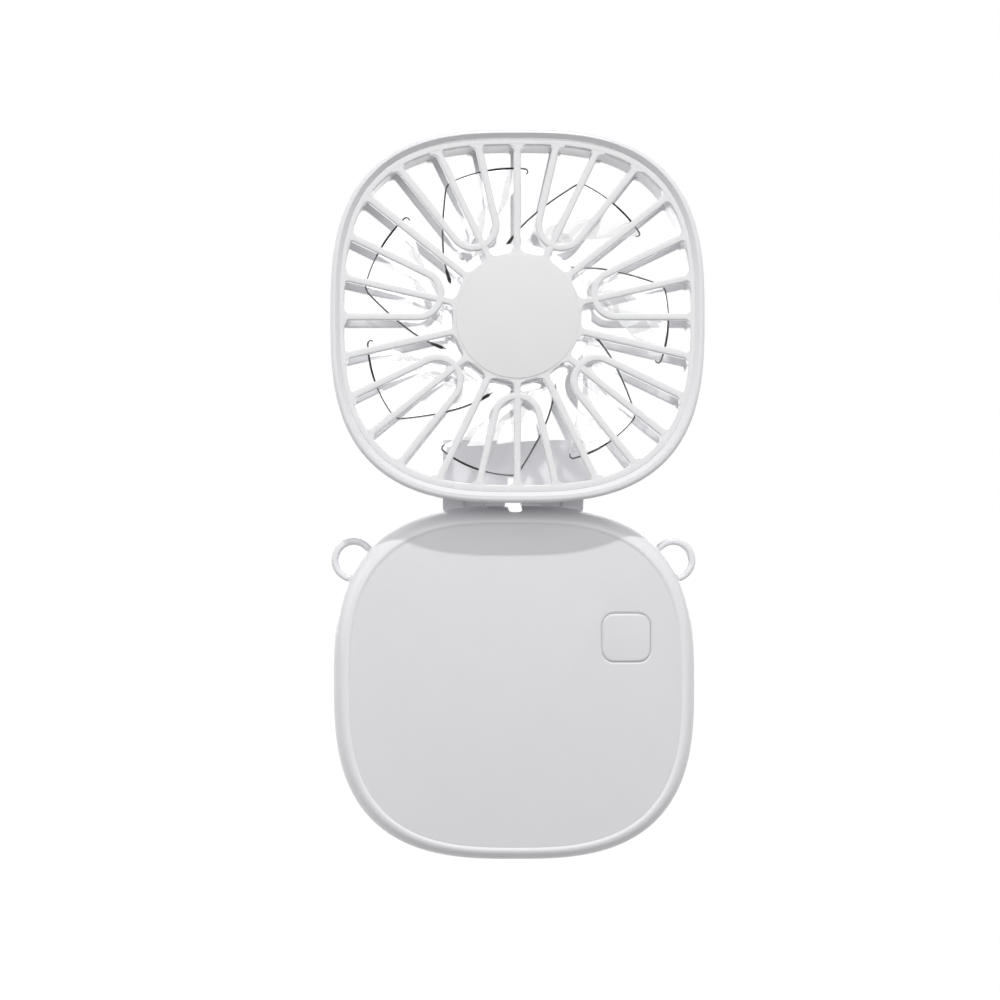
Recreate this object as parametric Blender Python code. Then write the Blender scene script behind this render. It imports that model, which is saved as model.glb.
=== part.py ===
"""Foldable mini fan: a squircle fan head hinged on a squircle battery base.

Metres, +Z up. X is the fan's width and the front faces -Y. The origin lies midway between the two
strap loops. The head is open above the base and folds back, about the pins along X, onto its back.
"""

import math

import bmesh
import bpy
from mathutils import Matrix, Vector
from mathutils.geometry import convex_hull_2d

# Both halves
FAN_WIDTH = 0.092
HEAD_HEIGHT = 0.0914
BASE_HEIGHT = 0.0899
SQUIRCLE_POWER = 2.86
OUTLINE_STEPS = 44
CORNER_STEPS = 4
ROUND_STEPS = 24
SMALL_ROUND_STEPS = 10
SHARP_ANGLE = math.radians(35)
HALVES_GAP = 0.0007
FOLDED_GAP = 0.0005
CLEARANCE = 0.0003
OVERRUN = 0.004
SINK = 0.0004

# Base case
BASE_DEPTH = 0.020
BASE_WALL = 0.0024
BASE_EDGE = 0.0040
PARTING_GAP = 0.0003
PANEL_THICKNESS = 0.0009
PANEL_PROUD = 0.00015
PANEL_MARGIN = 0.0003
CASE_SCREW_FROM_SIDE = 0.0145
CASE_SCREW_FROM_END = 0.0137
CASE_BOSS_RADIUS = 0.0025
SCREW_RADIUS = 0.0008
SCREW_HEAD_RADIUS = 0.0016
SCREW_HEAD_DEPTH = 0.0010
SCREW_SINK = 0.0003
CASE_SCREW_LENGTH = 0.0130
DRIVE_RADIUS = 0.0007
DRIVE_DEPTH = 0.0005
NOTCH_WIDTH = 0.0042
NOTCH_DEPTH = 0.0014
NOTCH_FLOOR_SHARE = 0.68

# Strap loops
LOOP_BELOW_TOP = 0.0139
LOOP_BEYOND_CASE = 0.00132
LOOP_RADIUS = 0.0057
LOOP_HOLE_RADIUS = 0.0039
LOOP_THICKNESS = 0.0024
LOOP_SOFT_EDGE = 0.0005

# Button and its switch
BUTTON_SIDE = 0.0126
BUTTON_CORNER = 0.0032
BUTTON_FROM_SIDE = 0.0187
BUTTON_BELOW_TOP = 0.0327
BUTTON_FLANGE = 0.0009
BUTTON_FLANGE_THICKNESS = 0.0008
BUTTON_STEM_LENGTH = 0.0004
BUTTON_STEM_RADIUS = 0.0016
BUTTON_TRAVEL = 0.0004
BUTTON_SOFT_EDGE = 0.0003
SWITCH_SIDE = 0.0062
SWITCH_HEIGHT = 0.0018
PLUNGER_RADIUS = 0.0015
PLUNGER_REACH = 0.0008

# Inside the base
BOARD_WIDTH = 0.021
BOARD_LEFT_OF_BUTTON = 0.0135
BOARD_SET_BACK = 0.0056
BOARD_THICKNESS = 0.0012
BOARD_TOP_ABOVE_BUTTON = 0.0085
BOARD_POST_RADIUS = 0.0021
BOARD_SCREW_IN = 0.0034
BOARD_SCREW_LENGTH = 0.0045
USB_WIDTH = 0.0090
USB_HEIGHT = 0.0032
USB_LENGTH = 0.0090
USB_WALL = 0.0004
USB_DEPTH = 0.0058
USB_TONGUE_WIDTH = 0.0066
USB_TONGUE = 0.0007
USB_LEFT_OF_BUTTON = 0.0068
USB_SINK = 0.0006
BATTERY_FROM_SIDE = 0.0175
BATTERY_FROM_BOARD = 0.0023
BATTERY_DEPTH = 0.0100
BATTERY_SOFT_EDGE = 0.0015
BATTERY_FROM_TOP = 0.0277
BATTERY_FROM_FOOT = 0.0127
LEAD_RADIUS = 0.0006
LEAD_APART = 0.0032
LEAD_SLACK = 0.0030
LEAD_SEAT = 0.0032

# Fan head
HEAD_DEPTH = 0.0190
HEAD_BACK_Y = -0.0005
HEAD_WALL = 0.0018
RIM_DEPTH = 0.0032
RIM_BACK_DEPTH = 0.0016
REAR_SEAT_WALL = 0.0009
GRILLE_GAP = 0.00035
GRILLE_RECESS = 0.0010
GRILLE_LIP = 0.0013
GRILLE_SKIRT = 0.0009
GRILLE_SKIRT_DEPTH = 0.0016
FRONT_RIB_DEPTH = 0.0018
REAR_RIB_DEPTH = 0.0022
REAR_LEDGE = 0.0004
ARCH_COUNT = 7
RIB_WIDTH = 0.0017
REAR_RIB_WIDTH = 0.0018
ARCH_APEX_RADIUS = 0.0194
HUB_RADIUS = 0.0158
HUB_COVER_RADIUS = 0.0151
HUB_COVER_THICKNESS = 0.0012
HUB_COVER_SOFT_EDGE = 0.0003
CUP_HEIGHT = 0.0048
CUP_WALL = 0.0011

# Hinge
LEAF_WIDTH = 0.0362
LEAF_TOP = 0.0164
LEAF_BACK_Y = 0.0056
LEAF_SLOT_TOP = 0.0064
LEAF_SOFT_EDGE = 0.0006
BARREL_RADIUS = 0.0032
INNER_KNUCKLE = 0.0050
BASE_KNUCKLE = 0.0046
KNUCKLE_GAP = 0.0004
WASHER_THICKNESS = 0.0005
WASHER_RADIUS = 0.0029
WASHER_GAP = 0.0002
PIN_RADIUS = 0.0012
PIN_GAP = 0.00015
PIN_SHORT = 0.0004
POCKET_WALL = 0.0013
POCKET_FLOOR_Y = 0.0014
POCKET_GAP = 0.0004
KNUCKLE_RELIEF = 0.0006
LEAF_SCREW_X = 0.0128
LEAF_SCREW_DROP = 0.0034
LEAF_SCREW_RISE = 0.0064
LEAF_SCREW_LENGTH = 0.0062

# Motor
SHAFT_RADIUS = 0.0010
BEARING_RADIUS = 0.0025
BEARING_WIDTH = 0.0023
BEARING_TUBE_WALL = 0.0007
BEARING_TUBE_LENGTH = 0.0100
FIT_GAP = 0.00015
CAN_RADIUS = 0.0136
CAN_WALL = 0.0008
CAN_DEPTH = 0.0088
MAGNET_THICKNESS = 0.0014
AIR_GAP = 0.0003
STATOR_DEPTH = 0.0050
STATOR_POLES = 9
STATOR_BORE_GAP = 0.0002
POLE_WIDTH = 0.0026
POLE_TIP = 0.0012
SLOT_WIDTH = 0.0012
YOKE_RADIUS = 0.0054
WINDING_DEPTH = 0.0014
MOTOR_BOARD_THICKNESS = 0.0010

# Impeller
BLADE_COUNT = 7
IMPELLER_HUB_RADIUS = 0.0184
IMPELLER_HUB_WALL = 0.0012
IMPELLER_FACE = 0.0010
IMPELLER_FRONT_GAP = 0.0008
IMPELLER_BACK_GAP = 0.0017
CAN_SEAT_WALL = 0.0009
CAN_SEAT_DEPTH = 0.0060
BLADE_TIP_RADIUS = 0.0382
BLADE_ROOT_THICKNESS = 0.0013
BLADE_TIP_THICKNESS = 0.0008
BLADE_TIP_DEPTH = 0.0066
BLADE_INSET = 0.0004
BLADE_CAMBER = 0.0012
BLADE_START = math.radians(94)
BLADE_SWEEP = math.radians(33)
BLADE_ROOT_ARC = math.radians(40)
BLADE_TIP_ARC = math.radians(28)
BLADE_RADIAL_STEPS = 5
BLADE_CHORD_STEPS = 4

# Worked out from the sizes above
BASE_FRONT_Y = -BASE_DEPTH / 2
BASE_BACK_Y = BASE_DEPTH / 2
BASE_Z = LOOP_BELOW_TOP - BASE_HEIGHT / 2
AXIS_Y = (HEAD_BACK_Y + BASE_BACK_Y + FOLDED_GAP) / 2
AXIS_Z = BASE_Z + BASE_HEIGHT / 2 + HALVES_GAP / 2
HEAD_Z = AXIS_Z + HALVES_GAP / 2 + HEAD_HEIGHT / 2
HEAD_FRONT_Y = HEAD_BACK_Y - HEAD_DEPTH
BASE_HALVES = (FAN_WIDTH / 2, BASE_HEIGHT / 2)
HEAD_HALVES = (FAN_WIDTH / 2, HEAD_HEIGHT / 2)
CASE_SCREW_X = BASE_HALVES[0] - CASE_SCREW_FROM_SIDE
CASE_SCREW_Z = BASE_HALVES[1] - CASE_SCREW_FROM_END
LOOP_RISE_SHARE = 1 - LOOP_BELOW_TOP / BASE_HALVES[1]
LOOP_EDGE_SHARE = (1 - LOOP_RISE_SHARE**SQUIRCLE_POWER) ** (1 / SQUIRCLE_POWER)
LOOP_SIDE = BASE_HALVES[0] * LOOP_EDGE_SHARE + LOOP_BEYOND_CASE
BUTTON_X = BASE_HALVES[0] - BUTTON_FROM_SIDE
PANEL_SEAT_Y = BASE_FRONT_Y + PANEL_THICKNESS + CLEARANCE - PANEL_PROUD
CEILING_Y = PANEL_SEAT_Y + BASE_WALL - PANEL_THICKNESS
FLOOR_Y = BASE_BACK_Y - BASE_WALL
BUTTON_Z = BASE_Z + BASE_HALVES[1] - BUTTON_BELOW_TOP
BUTTON_FLANGE_Y = CEILING_Y + CLEARANCE
STEM_END_Y = BUTTON_FLANGE_Y + BUTTON_FLANGE_THICKNESS + BUTTON_STEM_LENGTH
SWITCH_TOP_Y = STEM_END_Y + BUTTON_TRAVEL + CLEARANCE
BOARD_FRONT_Y = SWITCH_TOP_Y + SWITCH_HEIGHT + FIT_GAP
BOARD_BACK_Y = BOARD_FRONT_Y + BOARD_THICKNESS
BOARD_LOW_X = BUTTON_X - BOARD_LEFT_OF_BUTTON
BOARD_TOP_Z = BUTTON_Z + BOARD_TOP_ABOVE_BUTTON
BOARD_SCREW_FACE_Y = BOARD_BACK_Y + CLEARANCE + SCREW_HEAD_DEPTH
USB_Y = BOARD_BACK_Y + CLEARANCE + USB_HEIGHT / 2
USB_SIDE = BUTTON_X - USB_LEFT_OF_BUTTON
USB_FAR_SHARE = (USB_SIDE + USB_WIDTH / 2) / BASE_HALVES[0]
USB_EDGE_SHARE = (1 - USB_FAR_SHARE**SQUIRCLE_POWER) ** (1 / SQUIRCLE_POWER)
USB_MOUTH_Z = BASE_Z - BASE_HALVES[1] * USB_EDGE_SHARE + USB_SINK
BOARD_LOW_Z = USB_MOUTH_Z + BOARD_SET_BACK
GRILLE_FRONT_Y = HEAD_FRONT_Y + GRILLE_RECESS
GRILLE_BACK_Y = GRILLE_FRONT_Y + FRONT_RIB_DEPTH
REAR_PLATE_Y = HEAD_BACK_Y - REAR_RIB_DEPTH
IMPELLER_FRONT_Y = GRILLE_BACK_Y + IMPELLER_FRONT_GAP
IMPELLER_BACK_Y = REAR_PLATE_Y - IMPELLER_BACK_GAP
CAN_FRONT_Y = IMPELLER_FRONT_Y + IMPELLER_FACE + CLEARANCE
ARCH_ANGLE = math.tau / ARCH_COUNT
RIB_ANGLE = ARCH_ANGLE / 4
BOTTOM_ANGLE = -math.pi / 2
HEAD_CENTRE = Vector((0, 0, HEAD_Z))


def clear_scene():
    for obj in list(bpy.data.objects):
        bpy.data.objects.remove(obj, do_unlink=True)


def material(name, colour, roughness, metallic=0.0, transmission=0.0):
    """One plain finish, its colour in linear red, green and blue."""
    made = bpy.data.materials.new(name)
    made.use_nodes = True
    shader = made.node_tree.nodes["Principled BSDF"]
    shader.inputs["Base Color"].default_value = (*colour, 1.0)
    shader.inputs["Roughness"].default_value = roughness
    shader.inputs["Metallic"].default_value = metallic
    shader.inputs["Transmission Weight"].default_value = transmission
    return made


def pivot(name, place, parent=None):
    """An empty on a joint's axis, which the pieces of that body hang from."""
    empty = bpy.data.objects.new(name, None)
    bpy.context.scene.collection.objects.link(empty)
    empty.empty_display_size = FAN_WIDTH / 4
    empty.location = place if parent is None else place - Vector(parent["place"])
    empty["place"] = place
    empty.parent = parent
    return empty


def piece(name, bm, finish, carrier):
    """Turns a mesh built in the fan's own frame into a named piece on the body that carries it."""
    bmesh.ops.recalc_face_normals(bm, faces=bm.faces)
    mesh = bpy.data.meshes.new(name)
    bm.to_mesh(mesh)
    bm.free()
    mesh.transform(Matrix.Translation(-Vector(carrier["place"])))
    mesh.shade_smooth()
    mesh.set_sharp_from_angle(angle=SHARP_ANGLE)
    obj = bpy.data.objects.new(name, mesh)
    bpy.context.scene.collection.objects.link(obj)
    obj.data.materials.append(finish)
    obj.parent = carrier
    return obj


def tool(name, bm):
    """A shape that only cuts or thickens another piece."""
    bmesh.ops.recalc_face_normals(bm, faces=bm.faces)
    mesh = bpy.data.meshes.new(name)
    bm.to_mesh(mesh)
    bm.free()
    obj = bpy.data.objects.new(name, mesh)
    bpy.context.scene.collection.objects.link(obj)
    obj.hide_render = True
    obj.display_type = "WIRE"
    return obj


def combine(obj, other, operation):
    boolean = obj.modifiers.new(other.name, "BOOLEAN")
    boolean.operation = operation
    boolean.solver = "EXACT"
    boolean.object = other


def cut(obj, other):
    combine(obj, other, "DIFFERENCE")


def join(obj, other):
    combine(obj, other, "UNION")


def soften(obj, width, steps=1):
    bevel = obj.modifiers.new("soft_edges", "BEVEL")
    bevel.width = width
    bevel.segments = steps
    bevel.limit_method = "ANGLE"
    bevel.angle_limit = SHARP_ANGLE


def squircle_point(halves, angle):
    """The point of a squircle of these half sizes that lies in this direction from its centre."""
    across = abs(math.cos(angle)) / halves[0]
    up = abs(math.sin(angle)) / halves[1]
    reach = (across**SQUIRCLE_POWER + up**SQUIRCLE_POWER) ** (-1 / SQUIRCLE_POWER)
    return reach * math.cos(angle), reach * math.sin(angle)


def inset(halves, distance):
    return halves[0] - distance, halves[1] - distance


def add_squircle(bm, halves, centre_z, profile, hollow=False):
    """A closed body through outlines, each given as its inset and its depth.

    The end outlines are filled, or joined to each other where the body is a hollow ring.
    """
    rings = []
    for distance, y in profile:
        ring = []
        for step in range(OUTLINE_STEPS):
            x, z = squircle_point(inset(halves, distance), math.tau * step / OUTLINE_STEPS)
            ring.append(bm.verts.new((x, y, centre_z + z)))
        rings.append(ring)
    pairs = list(zip(rings, rings[1:]))
    if hollow:
        pairs.append((rings[-1], rings[0]))
    else:
        bm.faces.new(rings[0])
        bm.faces.new(list(reversed(rings[-1])))
    for near, far in pairs:
        for step in range(OUTLINE_STEPS):
            after = (step + 1) % OUTLINE_STEPS
            bm.faces.new((near[step], near[after], far[after], far[step]))


def rounded_edge(depth_in, side_y, face_y, steps):
    """Insets and depths of a quarter ellipse, from a straight side to a flat face."""
    turns = [math.pi / 2 * step / steps for step in range(steps + 1)]
    return [
        (depth_in * (1 - math.cos(turn)), side_y + (face_y - side_y) * math.sin(turn))
        for turn in turns
    ]


def add_prism(bm, outline, near_y, far_y):
    """A straight block along Y on an outline of (x, z) points."""
    near = [bm.verts.new((x, near_y, z)) for x, z in outline]
    far = [bm.verts.new((x, far_y, z)) for x, z in outline]
    for step in range(len(outline)):
        after = (step + 1) % len(outline)
        bm.faces.new((near[step], near[after], far[after], far[step]))
    bm.faces.new(near)
    bm.faces.new(list(reversed(far)))


def add_box(bm, low, high):
    outline = [(low[0], low[2]), (high[0], low[2]), (high[0], high[2]), (low[0], high[2])]
    add_prism(bm, outline, low[1], high[1])


def add_rod(bm, radius, start, end, steps=SMALL_ROUND_STEPS):
    """A round bar between two points."""
    start = Vector(start)
    along = Vector(end) - start
    turn = Vector((0, 0, 1)).rotation_difference(along).to_matrix().to_4x4()
    place = Matrix.Translation(start + along / 2) @ turn
    bmesh.ops.create_cone(
        bm,
        cap_ends=True,
        segments=steps,
        radius1=radius,
        radius2=radius,
        depth=along.length,
        matrix=place,
    )


def add_turned(bm, profile, centre, steps=ROUND_STEPS):
    """A body turned about Y from radii and depths. A profile off the axis closes on itself."""
    on_axis = profile[0][0] == 0
    rings = []
    for radius, y in profile:
        count = 1 if radius == 0 else steps
        ring = []
        for step in range(count):
            angle = math.tau * step / steps
            place = Vector((radius * math.cos(angle), y, radius * math.sin(angle)))
            ring.append(bm.verts.new(place + centre))
        rings.append(ring)
    pairs = list(zip(rings, rings[1:]))
    if not on_axis:
        pairs.append((rings[-1], rings[0]))
    for near, far in pairs:
        for step in range(steps):
            after = (step + 1) % steps
            corners = [
                near[step % len(near)],
                near[after % len(near)],
                far[after % len(far)],
                far[step % len(far)],
            ]
            bm.faces.new(list(dict.fromkeys(corners)))


def add_tube(bm, outer, inner, near_y, far_y, centre, steps=ROUND_STEPS):
    profile = [(outer, near_y), (outer, far_y), (inner, far_y), (inner, near_y)]
    add_turned(bm, profile, centre, steps)


def rounded_square(side, corner, centre_x, centre_z):
    """Outline of a square with arcs for corners."""
    points = []
    straight = side / 2 - corner
    for quarter in range(4):
        middle = math.pi / 2 * quarter
        corner_x = straight * math.copysign(1, math.cos(middle + math.pi / 4))
        corner_z = straight * math.copysign(1, math.sin(middle + math.pi / 4))
        for step in range(CORNER_STEPS + 1):
            angle = middle + math.pi / 2 * step / CORNER_STEPS
            x = centre_x + corner_x + corner * math.cos(angle)
            z = centre_z + corner_z + corner * math.sin(angle)
            points.append((x, z))
    return points


def rim_crossing(halves, angle, offset):
    """Where a line beside a rib of this direction meets the opening's outline."""
    along = Vector((math.cos(angle), math.sin(angle)))
    beside = Vector((-math.sin(angle), math.cos(angle))) * offset
    low, high = 0, 2 * halves[0]
    for _ in range(40):
        middle = (low + high) / 2
        point = along * middle + beside
        across = abs(point.x) / halves[0]
        up = abs(point.y) / halves[1]
        if across**SQUIRCLE_POWER + up**SQUIRCLE_POWER < 1:
            low = middle
        else:
            high = middle
    return along * low + beside


def crown_points(apex_radius, radius_change, first, last):
    """Part of the arc that joins an arch's two legs, in the arch's own direction along +x."""
    centre = apex_radius / (1 - math.sin(RIB_ANGLE))
    radius = centre * math.sin(RIB_ANGLE) + radius_change
    points = []
    for step in range(CORNER_STEPS + 1):
        angle = first + (last - first) * step / CORNER_STEPS
        points.append(Vector((centre + radius * math.cos(angle), radius * math.sin(angle))))
    return points, radius


def turned_by(points, angle):
    turn = Matrix.Rotation(angle, 2)
    return [turn @ point for point in points]


def rim_points(halves, first, last):
    """Points of the opening's outline strictly between two directions."""
    points = []
    for step in (1, 2):
        angle = first + (last - first) * step / 3
        points.append(Vector(squircle_point(halves, angle)))
    return points


def arch_windows(halves, arch, rib, hub_radius):
    """The four openings of one arch: two under its crown and two that run on down to the hub."""
    half = rib / 2
    turn = BOTTOM_ANGLE + arch * ARCH_ANGLE
    _, inner_radius = crown_points(ARCH_APEX_RADIUS, -half, 0, 0)
    _, outer_radius = crown_points(ARCH_APEX_RADIUS, half, 0, 0)
    windows = []
    for side in (1, -1):
        leg = turn + side * RIB_ANGLE
        straight = turn + side * 2 * RIB_ANGLE
        start = math.pi / 2 + RIB_ANGLE
        under, _ = crown_points(
            ARCH_APEX_RADIUS, -half, start, math.pi - math.asin(half / inner_radius)
        )
        over, _ = crown_points(
            ARCH_APEX_RADIUS, half, start, math.pi - math.asin(half / outer_radius)
        )
        under = turned_by([Vector((p.x, side * p.y)) for p in under], turn)
        over = turned_by([Vector((p.x, side * p.y)) for p in over], turn)
        inner = [rim_crossing(halves, leg, -side * half)] + under
        inner.append(rim_crossing(halves, turn, side * half))
        inner += rim_points(halves, turn, leg)
        windows.append(inner)
        spread = math.asin(half / hub_radius)
        round_hub = []
        for step in range(CORNER_STEPS):
            share = step / (CORNER_STEPS - 1)
            angle = spread + (2 * RIB_ANGLE - 2 * spread) * share
            round_hub.append(Vector((math.cos(angle), side * math.sin(angle))) * hub_radius)
        outer = [rim_crossing(halves, leg, side * half)] + over + turned_by(round_hub, turn)
        outer.append(rim_crossing(halves, straight, -side * half))
        outer += rim_points(halves, straight, leg)
        windows.append(outer)
    return windows


def grille_windows(name, halves, rib, hub_radius, near_y, far_y):
    """A tool that opens every window of a grille."""
    bm = bmesh.new()
    for arch in range(ARCH_COUNT):
        for window in arch_windows(halves, arch, rib, hub_radius):
            add_prism(bm, [(p.x, HEAD_Z + p.y) for p in window], near_y, far_y)
    return tool(name, bm)


def box_tool(name, *boxes):
    bm = bmesh.new()
    for low, high in boxes:
        add_box(bm, low, high)
    return tool(name, bm)


def rod_tool(name, radius, *ends, steps=SMALL_ROUND_STEPS):
    bm = bmesh.new()
    for start, end in ends:
        add_rod(bm, radius, start, end, steps)
    return tool(name, bm)


def screw(name, head_face, length, along, finish, carrier):
    """A pan head screw along Y with a round drive recess. It points in the direction of along."""
    x, y, z = head_face
    under = y + along * SCREW_HEAD_DEPTH
    profile = [
        (0, y + along * DRIVE_DEPTH),
        (DRIVE_RADIUS, y + along * DRIVE_DEPTH),
        (DRIVE_RADIUS, y),
        (SCREW_HEAD_RADIUS, y),
        (SCREW_HEAD_RADIUS, under),
        (SCREW_RADIUS, under),
        (SCREW_RADIUS, y + along * length),
        (0, y + along * length),
    ]
    bm = bmesh.new()
    add_turned(bm, profile, Vector((x, 0, z)), SMALL_ROUND_STEPS)
    return piece(name, bm, finish, carrier)


def case_screw_places():
    signs = ((-1, 1), (1, 1), (-1, -1), (1, -1))
    return [(right * CASE_SCREW_X, BASE_Z + up * CASE_SCREW_Z) for right, up in signs]


def board_screw_places():
    """One screw near the board's top, and one above the charging socket."""
    x = BOARD_LOW_X + BOARD_SCREW_IN
    return [(x, BOARD_TOP_Z - BOARD_SCREW_IN), (x, BOARD_LOW_Z + USB_LENGTH + BOARD_SCREW_IN)]


def notch_tool(name):
    """The small rounded groove over the top of the case, in line with the hinge's middle gap."""
    top = AXIS_Z + OVERRUN
    floor = BASE_Z + BASE_HEIGHT / 2 - NOTCH_DEPTH
    half = NOTCH_WIDTH / 2
    narrow = half * NOTCH_FLOOR_SHARE
    outline = [(-half, top), (-half, floor + NOTCH_DEPTH / 2), (-narrow, floor)]
    outline += [(narrow, floor), (half, floor + NOTCH_DEPTH / 2), (half, top)]
    bm = bmesh.new()
    add_prism(bm, outline, BASE_FRONT_Y - OVERRUN, BASE_BACK_Y + OVERRUN)
    return tool(name, bm)


def loop_slot_tool(name):
    """The seat between the shells for both strap loops."""
    deep = LOOP_THICKNESS / 2 + CLEARANCE / 2
    radius = LOOP_RADIUS + CLEARANCE
    bm = bmesh.new()
    for side in (-1, 1):
        add_rod(bm, radius, (side * LOOP_SIDE, -deep, 0), (side * LOOP_SIDE, deep, 0), ROUND_STEPS)
    return tool(name, bm)


def usb_cut_tool(name):
    """The mouth for the charging socket through the lower edge of the case."""
    bm = bmesh.new()
    gap = 2 * CLEARANCE
    outline = stadium(USB_WIDTH + gap, USB_HEIGHT + gap)
    add_upright(bm, outline, USB_MOUTH_Z - OVERRUN, USB_MOUTH_Z + USB_LENGTH / 2)
    return tool(name, bm)


def stadium(width, height):
    """The socket's outline about its own middle: x and y points with half round ends."""
    radius = height / 2
    points = []
    for end in (0, 1):
        for step in range(CORNER_STEPS + 1):
            angle = -math.pi / 2 + math.pi * end + math.pi * step / CORNER_STEPS
            x = USB_SIDE + (1 - 2 * end) * (width / 2 - radius) + radius * math.cos(angle)
            points.append((x, USB_Y + radius * math.sin(angle)))
    return points


def add_upright(bm, outline, low_z, high_z):
    """A straight block along Z on an outline of (x, y) points."""
    low = [bm.verts.new((x, y, low_z)) for x, y in outline]
    high = [bm.verts.new((x, y, high_z)) for x, y in outline]
    for step in range(len(outline)):
        after = (step + 1) % len(outline)
        bm.faces.new((low[step], low[after], high[after], high[step]))
    bm.faces.new(low)
    bm.faces.new(list(reversed(high)))


def make_base_shells(finish, base):
    """Front and rear shells, which meet at the parting line round the middle of the edge."""
    inner_edge = BASE_EDGE + BASE_WALL / 2
    for name, face_y, side in (
        ("base_front_shell", BASE_FRONT_Y, -1),
        ("base_rear_shell", BASE_BACK_Y, 1),
    ):
        parting_y = side * PARTING_GAP / 2
        front = side < 0
        cavity_y = CEILING_Y if front else FLOOR_Y
        profile = [(inner_edge, cavity_y), (BASE_WALL + SINK, cavity_y / 2), (BASE_WALL, parting_y)]
        profile += rounded_edge(BASE_EDGE, parting_y, face_y, CORNER_STEPS)
        if front:
            profile += [(BASE_EDGE + SINK, face_y), (BASE_EDGE + SINK, PANEL_SEAT_Y)]
        bm = bmesh.new()
        add_squircle(bm, BASE_HALVES, BASE_Z, profile)
        shell = piece(name, bm, finish, base)
        posts = [
            ((x, parting_y, z), (x, cavity_y + side * SINK, z)) for x, z in case_screw_places()
        ]
        join(shell, rod_tool(name + "_bosses", CASE_BOSS_RADIUS, *posts))
        if front:
            finish_front_shell(shell)
        else:
            finish_rear_shell(shell)
        cut(shell, notch_tool(name + "_notch"))
        cut(shell, loop_slot_tool(name + "_loop_slots"))
        cut(shell, usb_cut_tool(name + "_socket_mouth"))


def finish_front_shell(shell):
    """Bores, board posts and the button's hole in the front shell."""
    tip_y = BASE_BACK_Y - SCREW_SINK - CASE_SCREW_LENGTH - CLEARANCE
    bores = [((x, tip_y, z), (x, 0, z)) for x, z in case_screw_places()]
    cut(shell, rod_tool("front_boss_bores", SCREW_RADIUS + FIT_GAP, *bores))
    post_y = BOARD_FRONT_Y - CLEARANCE
    posts = [((x, CEILING_Y - SINK, z), (x, post_y, z)) for x, z in board_screw_places()]
    join(shell, rod_tool("board_posts", BOARD_POST_RADIUS, *posts))
    reach = BOARD_SCREW_FACE_Y - BOARD_SCREW_LENGTH - CLEARANCE
    holes = [((x, reach, z), (x, 0, z)) for x, z in board_screw_places()]
    cut(shell, rod_tool("board_post_bores", SCREW_RADIUS + FIT_GAP, *holes))
    bm = bmesh.new()
    hole = rounded_square(
        BUTTON_SIDE + 2 * CLEARANCE, BUTTON_CORNER + CLEARANCE, BUTTON_X, BUTTON_Z
    )
    add_prism(bm, hole, PANEL_SEAT_Y - OVERRUN, CEILING_Y + SINK)
    cut(shell, tool("button_hole", bm))


def finish_rear_shell(shell):
    """Screw seats, the hinge pocket and the base's knuckles on the rear shell."""
    through = [((x, -OVERRUN, z), (x, BASE_BACK_Y, z)) for x, z in case_screw_places()]
    cut(shell, rod_tool("rear_boss_bores", SCREW_RADIUS + FIT_GAP, *through))
    seat_y = BASE_BACK_Y - SCREW_SINK - SCREW_HEAD_DEPTH - FIT_GAP
    seats = [((x, seat_y, z), (x, BASE_BACK_Y + OVERRUN, z)) for x, z in case_screw_places()]
    cut(shell, rod_tool("rear_screw_seats", SCREW_HEAD_RADIUS + FIT_GAP, *seats))
    half = LEAF_WIDTH / 2 + POCKET_GAP
    low_z = AXIS_Z - LEAF_TOP - POCKET_GAP - FOLDED_GAP
    top_z = BASE_Z + BASE_HEIGHT / 2 - BASE_WALL * 3 / 4
    walls = box_tool(
        "pocket_walls",
        (
            (-half - POCKET_WALL, PARTING_GAP / 2 + CLEARANCE / 2, low_z - POCKET_WALL),
            (half + POCKET_WALL, FLOOR_Y + SINK, top_z),
        ),
    )
    join(shell, walls)
    pocket = box_tool(
        "pocket_space",
        ((-half, POCKET_FLOOR_Y, low_z), (half, BASE_BACK_Y + OVERRUN, AXIS_Z + OVERRUN)),
    )
    cut(shell, pocket)
    wall_y = POCKET_FLOOR_Y - SINK
    roots = [(wall_y, AXIS_Z - BARREL_RADIUS), (wall_y, AXIS_Z - PIN_RADIUS)]
    join(shell, knuckle_tool("base_knuckles", base_knuckle_spans(), roots))
    cut(shell, pin_bore_tool("base_pin_bores"))


def base_knuckle_spans():
    """Lowest and highest x of the base's two knuckles, left then right."""
    inner = NOTCH_WIDTH / 2 + INNER_KNUCKLE + KNUCKLE_GAP
    outer = inner + BASE_KNUCKLE
    return [(-outer, -inner), (inner, outer)]


def leaf_knuckle_spans():
    """Lowest and highest x of the leaf's four knuckles."""
    inner = NOTCH_WIDTH / 2
    middle = base_knuckle_spans()[1][1] + WASHER_THICKNESS + 2 * WASHER_GAP
    spans = [(inner, inner + INNER_KNUCKLE), (middle, LEAF_WIDTH / 2)]
    return spans + [(-high, -low) for low, high in spans]


def knuckle_tool(name, spans, roots):
    """Hinge knuckles: a barrel round the pin, drawn out to the wall or plate that carries it."""
    points = [Vector(root) for root in roots]
    for step in range(ROUND_STEPS):
        angle = math.tau * (step + 0.5) / ROUND_STEPS
        barrel = Vector((math.cos(angle), math.sin(angle))) * BARREL_RADIUS
        points.append(Vector((AXIS_Y, AXIS_Z)) + barrel)
    outline = [points[index] for index in convex_hull_2d(points)]
    bm = bmesh.new()
    for low, high in spans:
        near = [bm.verts.new((low, y, z)) for y, z in outline]
        far = [bm.verts.new((high, y, z)) for y, z in outline]
        for step in range(len(outline)):
            after = (step + 1) % len(outline)
            bm.faces.new((near[step], near[after], far[after], far[step]))
        bm.faces.new(near)
        bm.faces.new(list(reversed(far)))
    return tool(name, bm)


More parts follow.
